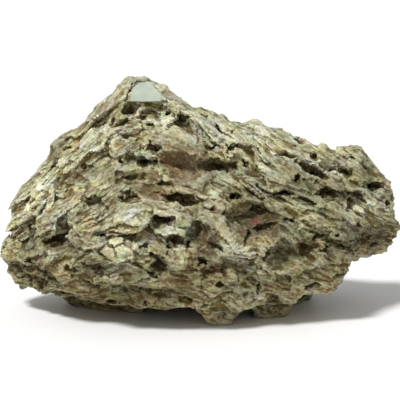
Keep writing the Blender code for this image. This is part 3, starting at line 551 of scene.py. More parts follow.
class StonePaint(Nodes):
    """The material's node tree, with the stone's own noises and layers of colour."""

    def __init__(self, tree):
        super().__init__(tree)
        self.place = self.node("ShaderNodeTexCoord", {}, "Object")
        self.bed = self.attribute("bed", "Vector")
        self.height = self.split(self.place)[2]
        self.blotches = self.noise(self.place, BLOTCHES, 6)
        self.freckles = self.noise(self.place, FRECKLES, 4)
        self.specks = self.noise(self.place, SPECKS, 3)
        self.laminae = self.noise(self.vector("MULTIPLY", self.bed, LAMINAE), 1.0, 5)
        self.wash = self.math("ADD", self.product(self.blotches, 0.6),
                              self.product(self.freckles, 0.4))
        self.dark_threads = self.threads(DARK_THREADS_SEED)
        self.pale_threads = self.threads(PALE_THREADS_SEED)
        self.split_face = self.ranged(self.attribute("face"), 1.2 * MM, 0.5 * MM)

    def attribute(self, name, output="Fac"):
        return self.node("ShaderNodeAttribute", {}, output, attribute_name=name)

    def shifted_noise(self, shift, scale, detail):
        return self.noise(self.vector("ADD", self.place, shift), scale, detail)

    def threads(self, seed):
        """Thin broken lines that follow the bedding: where a noise crosses its middle value."""
        waves = self.vector("MULTIPLY_ADD", self.bed, THREADS, (seed, seed, seed))
        waves = self.math("ABSOLUTE", self.math("SUBTRACT", self.noise(waves, 1.0, 4), 0.5))
        return self.product(self.ranged(waves, 0.035, 0.01), self.ranged(self.blotches, 0.42, 0.55))

    def mix(self, share, first, second, blend="MIX"):
        inputs = {"Factor": share, 6: first, 7: second}
        return self.node("ShaderNodeMix", inputs, 2, data_type="RGBA", blend_type=blend)

    def layer(self, colour, share, strength, other):
        """The colour with some of the other laid over it."""
        return self.mix(self.product(share, strength), colour, (*other, 1))

    def stain(self, colour, marks, strength, other):
        """A layer whose edges are broken by the wash."""
        edge = self.math("ADD", marks, self.math("MULTIPLY_ADD", self.wash, 2.4, -1.2))
        return self.layer(colour, self.ranged(edge, 0.35, 0.75), strength, other)

    def body_colour(self):
        """The tan stone with its beds, freckles and noisy stains."""
        beds = self.noise(self.vector("MULTIPLY", self.bed, BEDS), 1.0, 5)
        patches = self.ranged(self.noise(self.place, PATCHES, 5), 0.42, 0.58)
        colour = self.mix(patches, (*COLOURS["tan"], 1), (*COLOURS["greenish tan"], 1))
        colour = self.layer(colour, self.ranged(beds, 0.52, 0.66), 0.7, COLOURS["dark bed"])
        colour = self.layer(colour, self.ranged(beds, 0.46, 0.34), 0.7, COLOURS["pale bed"])
        freckled = self.ranged(self.freckles, 0.5, 0.68)
        colour = self.layer(colour, freckled, 0.6, COLOURS["freckle"])
        # The brown marks along the bottom are partly painted shade, and some pale marks are painted
        # light.
        for name, (shift, scale, begins, full, strength, other) in NOISY_STAINS.items():
            spread = self.ranged(self.shifted_noise(shift, scale, 3), begins, full)
            marks = self.math("MAXIMUM", self.attribute(name), spread)
            colour = self.stain(colour, marks, strength, other)
        return colour

    def weathered_colour_with_painted_light(self, colour):
        """Paler on the crests, where edges are worn and a highlight is painted, and painted light
        on faces that turn up; painted shade on faces that turn down, towards the foot and in
        hollows, creases and pits, which also hold brown dirt.
        """
        lean = self.attribute("lean")
        rise = self.attribute("rise")
        crest = self.attribute("crest")
        inside = self.product(self.attribute("pit"), -1.0)
        layers = (
            # Painted light on faces that turn up and painted shade on faces that turn down.
            (self.ranged(lean, 0.1, 0.8), 0.35, "painted top light"),
            (self.ranged(lean, 0.1, -0.6), 0.5, "painted underside shade"),
            # Painted shade: darker and browner towards the bottom.
            (self.ranged(self.height, 60 * MM, 5 * MM), 0.55, "foot"),
            # Painted shade over brown dirt in the hollows.
            (self.ranged(rise, 0.3 * MM, -2.6 * MM), 0.78, "hollow"),
            # Paler crests: partly worn edges, partly a painted highlight.
            (self.ranged(crest, 0.04 * MM, 0.4 * MM), 0.6, "crest"),
            # Painted shade over dirt in the creases and pits.
            (self.ranged(crest, -0.05 * MM, -0.4 * MM), 0.65, "crease"),
            (self.ranged(inside, 0.5 * MM, 3 * MM), 0.75, "pit"),
            (self.dark_threads, 0.6, "dark thread"),
            (self.pale_threads, 0.6, "pale thread"),
        )
        for share, strength, name in layers:
            colour = self.layer(colour, share, strength, COLOURS[name])
        # Painted shade over the darkest cavities.
        colour = self.stain(colour, self.attribute("deep"), 0.5, COLOURS["deep"])
        colour = self.stain(colour, self.attribute("tan"), 0.65, COLOURS["tan stain"])
        pebble = self.ranged(self.attribute("red"), 0.45, 0.6)
        return self.layer(colour, pebble, 0.85, COLOURS["red"])

    def tone(self):
        """Lighter and darker grains, patches and beds, painted shade towards the ground and in the
        shade ovals, and painted light in the light ovals; the darker, the deeper the colour.
        """
        tone = self.product(
            self.ranged(self.specks, 0.3, 0.7, 0.66, 1.33),
            self.ranged(self.shifted_noise((4.2, 4.4, 0.7), 15, 2), 0.36, 0.64, 0.72, 1.24),
            self.ranged(self.laminae, 0.3, 0.7, 0.72, 1.28),
            # Painted shade towards the ground.
            self.ranged(self.height, 3 * MM, 20 * MM, 0.72, 1.0),
            self.ranged(self.attribute("shade"), 0.0, 1.0, 1.0, 0.65),
            self.ranged(self.attribute("light"), 0.0, 1.0, 1.0, 1.16),
        )
        warmth = self.shifted_noise((5.2, 0.3, 2.1), BLOTCHES, 6)
        cool = self.shifted_noise((2.6, 5.3, 4.1), 110, 5)
        red = self.product(self.math("POWER", tone, 0.93),
                           self.ranged(warmth, 0.3, 0.7, 0.91, 1.08),
                           self.ranged(cool, 0.3, 0.7, 0.93, 1.07))
        blue = self.product(self.math("POWER", tone, 1.25),
                            self.ranged(warmth, 0.3, 0.7, 1.10, 0.82),
                            self.ranged(cool, 0.3, 0.7, 0.85, 1.16))
        return self.node("ShaderNodeCombineColor", {0: red, 1: tone, 2: blue})

    def relief(self):
        """Fine beds, grains, threads and grit, nearly gone on the split face."""
        relief = self.product(self.laminae, 1.4)
        grit = self.noise(self.place, GRIT, 2)
        for grains, share in ((self.specks, 0.6), (self.dark_threads, -0.35),
                              (self.pale_threads, 0.25), (grit, 0.2), (self.freckles, 0.8)):
            relief = self.math("MULTIPLY_ADD", grains, share, relief)
        return self.product(relief, self.ranged(self.split_face, 0.0, 1.0, 1.0, 0.2))


def stone_material():
    """Dull greenish tan stone, which reads Object coordinates and the stored attributes."""
    material = bpy.data.materials.new("weathered stone")
    material.use_nodes = True
    paint = StonePaint(material.node_tree)
    shader = material.node_tree.nodes["Principled BSDF"]
    colour = paint.weathered_colour_with_painted_light(paint.body_colour())
    colour = paint.mix(1.0, colour, paint.tone(), "MULTIPLY")
    sheen = paint.ranged(paint.noise(paint.place, SHEEN, 4), 0.35, 0.65)
    fresh = paint.mix(sheen, (*COLOURS["split face"], 1), (*COLOURS["split face sheen"], 1))
    colour = paint.mix(paint.split_face, colour, fresh)
    rough = paint.ranged(paint.specks, 0.3, 0.7, 0.78, 0.98)
    inputs = {"Height": paint.relief(), "Strength": 1.0, "Distance": BUMP_HEIGHT}
    bump = paint.node("ShaderNodeBump", inputs)
    material.node_tree.links.new(colour, shader.inputs["Base Color"])
    material.node_tree.links.new(rough, shader.inputs["Roughness"])
    material.node_tree.links.new(bump, shader.inputs["Normal"])
    shader.inputs["Specular IOR Level"].default_value = SHINE
    return material


stone_skin = stone_material()

# ---------------------------------------------------------------------------------------------
# The dragon stone: its weathering
# Water has eaten the stone along its beds into scallops, broken slabs, chips, small holes and
# grain. Geometry Nodes work all of it out as one distance, and make the skin where it is zero.
# ---------------------------------------------------------------------------------------------
WEATHER_SIZES = {
    "Foot height": 16 * MM, "Skin at the ground": 1 * MM, "Skin": 8 * MM,
    "Skin at the edge": 8.5 * MM, "Edge rounding": 4 * MM,
    "Scallop length": 46 * MM, "Scallop depth": 17 * MM,
    "Small scallop length": 24 * MM, "Small scallop depth": 12 * MM,
    "Broken slab length": 24 * MM, "Broken slab step": 4.5 * MM,
    "Wear": 6 * MM, "Quiet wear": 2.5 * MM, "Hard wear": 3 * MM,
    "Tooth height": 7 * MM, "Wing tooth height": 12 * MM,
    "Chip length": 6 * MM, "Chip step": 2 * MM,
    "Slab loss": 1.5 * MM, "Pit growth": 0.8 * MM, "Bowl growth": 1 * MM,
    "Back hole length": 26 * MM,
    "Grain length": 9 * MM, "Grain depth": 1.2 * MM,
    "Flake length": 11 * MM, "Flake step": 1 * MM,
}
PIT_STEEPNESS = 4.0
BOWL_STEEPNESS = 2.2

# The beds follow the crest, whose two sides are each a slope and a height over the origin; on
# the wing they dip further.
LEFT_CREST = (0.75, 205 * MM)
WING_CREST = (-0.33, 155 * MM)
CREST_BLEND = 30 * MM
LOWEST_CREST = 50 * MM
MEAN_CREST = 140 * MM
WING_DIP = 0.25

# The box that the skin is looked for in, and the cells of its first, coarse mesh.
FIELD_LOW = Vector((-158, -100, -4)) * MM
FIELD_HIGH = Vector((158, 100, 186)) * MM
COARSE_VOXEL = 2 * MM
# The shares of the remaining distance by which the finer mesh moves towards the skin.
APPROACH = (-0.7, -0.6, -0.5)
APPROACH_LIMIT = 2 * MM

STONE_TRIANGLES = 190_000
SHARP_EDGE = math.radians(35)


class GeometryTree(Nodes):
    """A Geometry Nodes tree with named inputs."""

    def __init__(self, name, inputs):
        super().__init__(bpy.data.node_groups.new(name, "GeometryNodeTree"))
        interface = self.group.interface
        interface.new_socket("Geometry", in_out="INPUT", socket_type="NodeSocketGeometry")
        for label, kind in inputs.items():
            interface.new_socket(label, in_out="INPUT", socket_type="NodeSocket" + kind)
        interface.new_socket("Material", in_out="INPUT", socket_type="NodeSocketMaterial")
        interface.new_socket("Geometry", in_out="OUTPUT", socket_type="NodeSocketGeometry")
        self.inputs = self.group.nodes.new("NodeGroupInput").outputs

    def scaled(self, vector, factor):
        inputs = {0: vector, "Scale": factor}
        return self.node("ShaderNodeVectorMath", inputs, operation="SCALE")

    def wander(self, place, scale, reach, detail):
        """A vector that wanders by about half of reach either way."""
        colour = self.noise(place, scale, detail, output=1)
        return self.scaled(self.vector("SUBTRACT", colour, (0.5, 0.5, 0.5)), reach)

    def cells(self, place):
        """The nearest cell's distance, colour and middle."""
        inputs = {"Vector": place, "Scale": 1.0}
        return self.node("ShaderNodeTexVoronoi", inputs).node.outputs

    def object_mesh(self, obj):
        inputs = {0: obj}
        return self.node("GeometryNodeObjectInfo", inputs, "Geometry", transform_space="RELATIVE")

    def distance_to(self, mesh, place, voxel, reach):
        """The signed distance from place to a closed mesh, out to reach."""
        inputs = {0: mesh, 1: voxel, 2: math.ceil(reach / voxel)}
        grid = self.node("GeometryNodeMeshToSDFGrid", inputs)
        return self.node("GeometryNodeSampleGrid", {0: grid, 1: place})

    def store(self, mesh, name, value, kind="FLOAT"):
        inputs = {0: mesh, "Name": name, "Value": value}
        return self.node("GeometryNodeStoreNamedAttribute", inputs, data_type=kind)

    def finish(self, geometry):
        """Ends the tree in Realize Instances and Set Material."""
        geometry = self.node("GeometryNodeRealizeInstances", {0: geometry})
        inputs = {0: geometry, 2: self.inputs["Material"]}
        geometry = self.node("GeometryNodeSetMaterial", inputs)
        output = self.group.nodes.new("NodeGroupOutput")
        self.group.links.new(geometry, output.inputs[0])
        return self.group


def add_tree(obj, name, group, values):
    """A Geometry Nodes modifier, its inputs found by name and set by identifier."""
    modifier = obj.modifiers.new(name, "NODES")
    modifier.node_group = group
    for item in group.interface.items_tree:
        if item.in_out == "INPUT" and item.name in values:
            modifier[item.identifier] = values[item.name]


def bed_place(tree, place):
    """The place with its height counted along the bedding, which falls from the peak both ways."""
    x, y, z = tree.split(place)[:3]
    left = tree.math("MULTIPLY_ADD", x, *LEFT_CREST)
    right = tree.math("MULTIPLY_ADD", x, *WING_CREST)
    crest = tree.math("SMOOTH_MIN", left, right, CREST_BLEND)
    crest = tree.math("MAXIMUM", crest, LOWEST_CREST)
    height = tree.product(tree.math("DIVIDE", z, crest), MEAN_CREST)
    wing = tree.math("SMOOTH_MAX", x, 0.0, CREST_BLEND)
    height = tree.math("MULTIPLY_ADD", wing, WING_DIP, height)
    return tree.node("ShaderNodeCombineXYZ", {0: x, 1: y, 2: height})


def in_cells(tree, place, length, shape, shift, waves, bend, detail):
    """The place counted in cells of this length and shape, shifted, and with bent walls."""
    waves = tree.math("DIVIDE", waves, length)
    bend = tree.product(length, bend)
    place = tree.vector("ADD", place, tree.wander(place, waves, bend, detail))
    return tree.vector("MULTIPLY_ADD", place, tree.vector("DIVIDE", shape, length), shift)


def scallops(tree, place, name, flatness, seed, shallowest):
    """Shingled scallops: each is deepest under its upper lip, and no two are equally deep."""
    place = in_cells(tree, place, tree.inputs[name + " length"], (1, 1.2, 1 / flatness),
                     (seed * 3.1, seed * 1.7, seed * 2.3), waves=1.3, bend=0.55, detail=2)
    cells = tree.cells(place)
    reach = tree.product(cells["Distance"], cells["Distance"])
    dish = tree.math("MAXIMUM", tree.math("SUBTRACT", 1.0, reach), 0.0)
    above = tree.split(tree.vector("SUBTRACT", place, cells["Position"]))[2]
    lip = tree.ranged(above, -0.5, 0.45, 0.3, 1.3)
    gain = tree.ranged(tree.split(cells["Color"])[0], 0.0, 1.0, shallowest, 1.2)
    return tree.product(dish, lip, gain, tree.inputs[name + " depth"])


def broken_slabs(tree, place, name, flatness, seed):
    """Broken slabs: flat faces, each with its own slant and set back by its own step."""
    place = in_cells(tree, place, tree.inputs[name + " length"], (1, 1, 1 / flatness),
                     (seed * 3.7, seed * 1.3, seed * 2.9), waves=1.2, bend=0.45, detail=3)
    cells = tree.cells(place)
    across = tree.vector("SUBTRACT", place, cells["Position"])
    lean = tree.vector("SUBTRACT", cells["Color"], (0.5, 0.5, 0.25))
    slant = tree.vector("DOT_PRODUCT", across, lean, output=1)
    step = tree.split(cells["Color"])[0]
    step = tree.math("MULTIPLY_ADD", slant, 1.6, step)
    return tree.product(step, tree.inputs[name + " step"])


def scattered_holes(tree, place, name, flatness, radius, seed):
    """The distance to holes that lie along the bedding, one in every other cell or so."""
    length = tree.inputs[name + " length"]
    place = in_cells(tree, place, length, (1, 1, 1 / flatness),
                     (seed * 2.7, seed * 1.9, seed * 3.3), waves=2, bend=0.4, detail=3)
    cells = tree.cells(place)
    size = tree.ranged(tree.split(cells["Color"])[1], 0.5, 1.0, 0.0, radius)
    distance = tree.math("SUBTRACT", cells["Distance"], size)
    return tree.product(distance, length, flatness)


def chips(tree, place):
    """A vector that jumps by about half a step from chip to chip, which leaves angular rims."""
    length = tree.inputs["Chip length"]
    scale = tree.math("DIVIDE", 1.0, length)
    place = tree.vector("ADD", place, tree.wander(place, scale, tree.product(length, 0.5), 2))
    colour = tree.node("ShaderNodeTexVoronoi", {"Vector": place, "Scale": scale}, "Color")
    jump = tree.vector("SUBTRACT", colour, (0.5, 0.5, 0.5))
    return tree.scaled(jump, tree.inputs["Chip step"])


def cut_into(tree, stone, hole, steepness):
    """The stone's distance with a hole sunk into it, whose walls are this steep."""
    inside = tree.math("MAXIMUM", tree.product(hole, -1.0), 0.0)
    cut = tree.math("MULTIPLY_ADD", inside, steepness, stone)
    return tree.product(cut, tree.ranged(inside, 0.0, 0.2 * MM, 1.0, 1 / math.hypot(1, steepness)))


def stone_field(tree):
    """Distances, negative inside, by name; and the place along the bedding."""
    size = tree.inputs
    place = tree.node("GeometryNodeInputPosition", {})
    x, y, height = tree.split(place)[:3]
    bed = bed_place(tree, place)
    broad = tree.wander(bed, 22, 15 * MM, 1)
    fine = tree.wander(place, 60, 3 * MM, 1)

    # the masses with a skin over them, held in by the edge of the front
    rough_place = tree.vector("ADD", place, tree.vector("ADD", tree.scaled(broad, 0.5), fine))
    form = tree.distance_to(size["Geometry"], rough_place, 2 * MM, 40 * MM)
    skin = tree.ranged(height, 0.0, size["Foot height"], size["Skin at the ground"], size["Skin"])
    form = tree.math("SUBTRACT", form, skin)
    edge_place = tree.vector("ADD", place, fine)
    ragged = tree.vector("ADD", edge_place, tree.wander(place, 130, 8 * MM, 3))
    ragged = tree.vector("ADD", ragged, chips(tree, place))
    edge = tree.distance_to(tree.object_mesh(size["Outline"]), ragged, 1 * MM, 24 * MM)
    within = tree.math("SUBTRACT", edge, size["Skin at the edge"])
    skin = tree.math("SMOOTH_MAX", form, within, size["Edge rounding"])
    bed = tree.vector("ADD", bed, tree.vector("ADD", broad, fine))

    # what has worn away along the beds, more in some places than in others
    wear = scallops(tree, bed, "Scallop", flatness=0.55, seed=1, shallowest=0.4)
    small = scallops(tree, bed, "Small scallop", flatness=0.55, seed=2, shallowest=-0.1)
    wear = tree.math("MAXIMUM", wear, small)
    wear = tree.math("ADD", wear, broken_slabs(tree, bed, "Broken slab", flatness=0.45, seed=2))
    uneven = tree.ranged(tree.noise(place, 20, 2), 0.38, 0.62, 0.45, 1.1)
    hard = tree.ranged(uneven, 0.45, 1.1, size["Hard wear"], 0.0)
    wear = tree.math("MULTIPLY_ADD", wear, uneven, hard)

    # little is worn away at the edge, in bowls and in quiet places, and nothing underneath
    bowls = tree.distance_to(tree.object_mesh(size["Bowls"]), ragged, 1 * MM, 12 * MM)
    bowl = tree.math("SUBTRACT", bowls, size["Bowl growth"])
    quiet = tree.distance_to(tree.object_mesh(size["Quiet places"]), ragged, 1 * MM, 8 * MM)
    kept = tree.product(tree.ranged(edge, -16 * MM, 0.0, 1.0, 0.15),
                        tree.product(tree.ranged(bowl, -4 * MM, 0.0, 0.15, 1.0),
                                     tree.ranged(quiet, -4 * MM, 2 * MM, 0.3, 1.0)))
    mean = tree.ranged(quiet, -2 * MM, 4 * MM, size["Quiet wear"], size["Wear"])
    mean_at_edge = tree.ranged(edge, -12 * MM, -4 * MM, 0.0, size["Wear"])
    mean = tree.math("MAXIMUM", mean, mean_at_edge)
    wear = tree.math("MULTIPLY_ADD", tree.math("SUBTRACT", wear, size["Wear"]), kept, mean)
    teeth = tree.noise(tree.vector("MULTIPLY", bed, (1, 1, 1.5)), 85, 2)
    teeth = tree.math("SUBTRACT", teeth, 0.5)
    bite = tree.ranged(x, 70 * MM, 120 * MM, size["Tooth height"], size["Wing tooth height"])
    near_edge = tree.ranged(edge, -10 * MM, 0.0)
    wear = tree.math("MULTIPLY_ADD", teeth, tree.product(near_edge, bite), wear)
    above_ground = tree.ranged(height, -6 * MM, 10 * MM)
    worn = tree.math("MULTIPLY_ADD", wear, above_ground, skin)

    # the slabs are added, then pits, small holes at the back, and bowls are sunk
    slab_place = tree.vector("ADD", edge_place, tree.wander(place, 220, 4 * MM, 2))
    slab = tree.distance_to(tree.object_mesh(size["Slabs"]), slab_place, 0.8 * MM, 8 * MM)
    slab = tree.math("ADD", slab, size["Slab loss"])
    pits = tree.distance_to(tree.object_mesh(size["Pits"]), ragged, 0.8 * MM, 8 * MM)
    pit = tree.math("SUBTRACT", pits, size["Pit growth"])
    front = tree.ranged(y, -5 * MM, 25 * MM, 20 * MM, 0.0)
    hole = scattered_holes(tree, bed, "Back hole", flatness=0.5, radius=0.45, seed=7)
    pit = tree.math("MINIMUM", pit, tree.math("ADD", hole, front))
    stone = tree.math("MINIMUM", worn, slab)
    stone = cut_into(tree, stone, pit, PIT_STEEPNESS)
    stone = cut_into(tree, stone, bowl, BOWL_STEEPNESS)

    # grain and flakes, fainter on the slabs and where little has worn away
    grain = scallops(tree, bed, "Grain", flatness=0.4, seed=4, shallowest=0.0)
    flakes = broken_slabs(tree, bed, "Flake", flatness=0.35, seed=5)
    grain = tree.product(tree.math("ADD", grain, flakes),
                         tree.ranged(slab, -0.5 * MM, 0.5 * MM, 0.3, 1.0),
                         tree.ranged(kept, 0.2, 0.8, 0.4, 1.0))
    stone = tree.math("MULTIPLY_ADD", grain, above_ground, stone)

    # one piece has split off near the peak, and the feet are ground flat
    root = tree.distance_to(tree.object_mesh(size["Split root"]), place, 0.6 * MM, 6 * MM)
    away = tree.distance_to(tree.object_mesh(size["Split off"]), place, 0.6 * MM, 6 * MM)
    stone = tree.math("MINIMUM", stone, root)
    stone = tree.math("MAXIMUM", stone, tree.product(away, -1.0))
    stone = tree.math("MAXIMUM", stone, tree.product(height, -1.0))
    face = tree.math("MAXIMUM", tree.math("ABSOLUTE", root), tree.math("ABSOLUTE", away))
    distances = {"stone": stone, "pit": pit, "face": face}
    return distances, bed


def largest_body(tree, mesh):
    """The mesh without the loose crumbs that weathering leaves."""
    island = tree.node("GeometryNodeInputMeshIsland", {})
    size = tree.node("GeometryNodeAccumulateField", {0: 1.0, 1: island}, "Total")
    largest = tree.node("GeometryNodeAttributeStatistic", {0: mesh, 2: size}, "Max")
    smaller = tree.node("FunctionNodeCompare", {0: size, 1: largest}, operation="LESS_THAN")
    return tree.node("GeometryNodeDeleteGeometry", {0: mesh, 1: smaller})


def make_weathering():
    """The tree that turns the masses into the weathered stone."""
    sizes = {label: "Float" for label in WEATHER_SIZES}
    helpers = {label: "Object" for label in ("Outline", *features)}
    tree = GeometryTree("weathering", {**sizes, **helpers})
    distances, bed = stone_field(tree)
    stone = distances.pop("stone")
    across, along, up = (round(side / COARSE_VOXEL) for side in FIELD_HIGH - FIELD_LOW)
    volume = tree.node("GeometryNodeVolumeCube", {
        "Density": tree.product(stone, -1.0), "Background": -1.0,
        "Min": FIELD_LOW, "Max": FIELD_HIGH,
        "Resolution X": across, "Resolution Y": along, "Resolution Z": up,
    })
    mesh = tree.node("GeometryNodeVolumeToMesh", {"Volume": volume, "Threshold": 0.0})
    mesh = largest_body(tree, mesh)
    mesh = tree.node("GeometryNodeSubdivideMesh", {0: mesh, 1: 1})
    normal = tree.node("GeometryNodeInputNormal", {})
    for share in APPROACH:
        step = tree.ranged(stone, -APPROACH_LIMIT, APPROACH_LIMIT, -APPROACH_LIMIT, APPROACH_LIMIT)
        offset = tree.scaled(normal, tree.product(step, share))
        mesh = tree.node("GeometryNodeSetPosition", {0: mesh, "Offset": offset})
    for name, value in distances.items():
        mesh = tree.store(mesh, name, value)
    mesh = tree.store(mesh, "bed", bed, "FLOAT_VECTOR")
    return tree.finish(mesh)


def make_finish():
    """The tree that stores how far each place stands out of the stone around it."""
    tree = GeometryTree("finish", {"Crest reach": "Int", "Rise reach": "Int", "Lean reach": "Int"})
    mesh = tree.inputs["Geometry"]
    place = tree.node("GeometryNodeInputPosition", {})
    normal = tree.node("GeometryNodeInputNormal", {})
    for name in ("crest", "rise"):
        steps = tree.inputs[name.capitalize() + " reach"]
        around = tree.node("GeometryNodeBlurAttribute", {"Value": place, "Iterations": steps},
                           data_type="FLOAT_VECTOR")
        out = tree.vector("DOT_PRODUCT", tree.vector("SUBTRACT", place, around), normal, output=1)
        mesh = tree.store(mesh, name, out)
    inputs = {"Value": tree.split(normal)[2], "Iterations": tree.inputs["Lean reach"]}
    mesh = tree.store(mesh, "lean", tree.node("GeometryNodeBlurAttribute", inputs))
    mesh = tree.node("GeometryNodeSetShadeSmooth", {0: mesh})
    return tree.finish(mesh)


def make_stone_mesh():
    """The masses weathered, thinned to the wanted number of triangles, and finished."""
    helpers = {"Outline": outline, **features, "Material": stone_skin}
    add_tree(masses, "weathering", make_weathering(), {**WEATHER_SIZES, **helpers})
    masses.data = evaluated_mesh(masses)
    masses.modifiers.clear()
    triangles = sum(len(face.vertices) - 2 for face in masses.data.polygons)
    facets = masses.modifiers.new("facets", "DECIMATE")
    facets.ratio = STONE_TRIANGLES / triangles
    reaches = {"Crest reach": 3, "Rise reach": 14, "Lean reach": 10}
    add_tree(masses, "finish", make_finish(), {**reaches, "Material": stone_skin})
    mesh = evaluated_mesh(masses)
    mesh.set_sharp_from_angle(angle=SHARP_EDGE)
    for helper in (masses, outline, *features.values()):
        bpy.data.objects.remove(helper)
    return mesh


stone_mesh = make_stone_mesh()

# ---------------------------------------------------------------------------------------------
# The dragon stone: its stains, and its place in the frame
# Iron and lime in the beds have left rust, pink, green and pale stains, and the hollows hold
# dirt. Other ovals are painted shade in the cavities and along the bottom, and painted light and
# shade over wider places. Each is a soft oval, stored in the mesh by name. The stone is one piece
# that never moves.
# ---------------------------------------------------------------------------------------------
# Stains fade where the stone turns away from the eye, and over the last millimetres of Y
# before their end.
FACING_GAIN = 3
STAINS_END = 40
STAINS_FADE = 20
# How many half widths from its middle a stain is gone; it is full up to one less.
STAIN_EDGE = 1.5
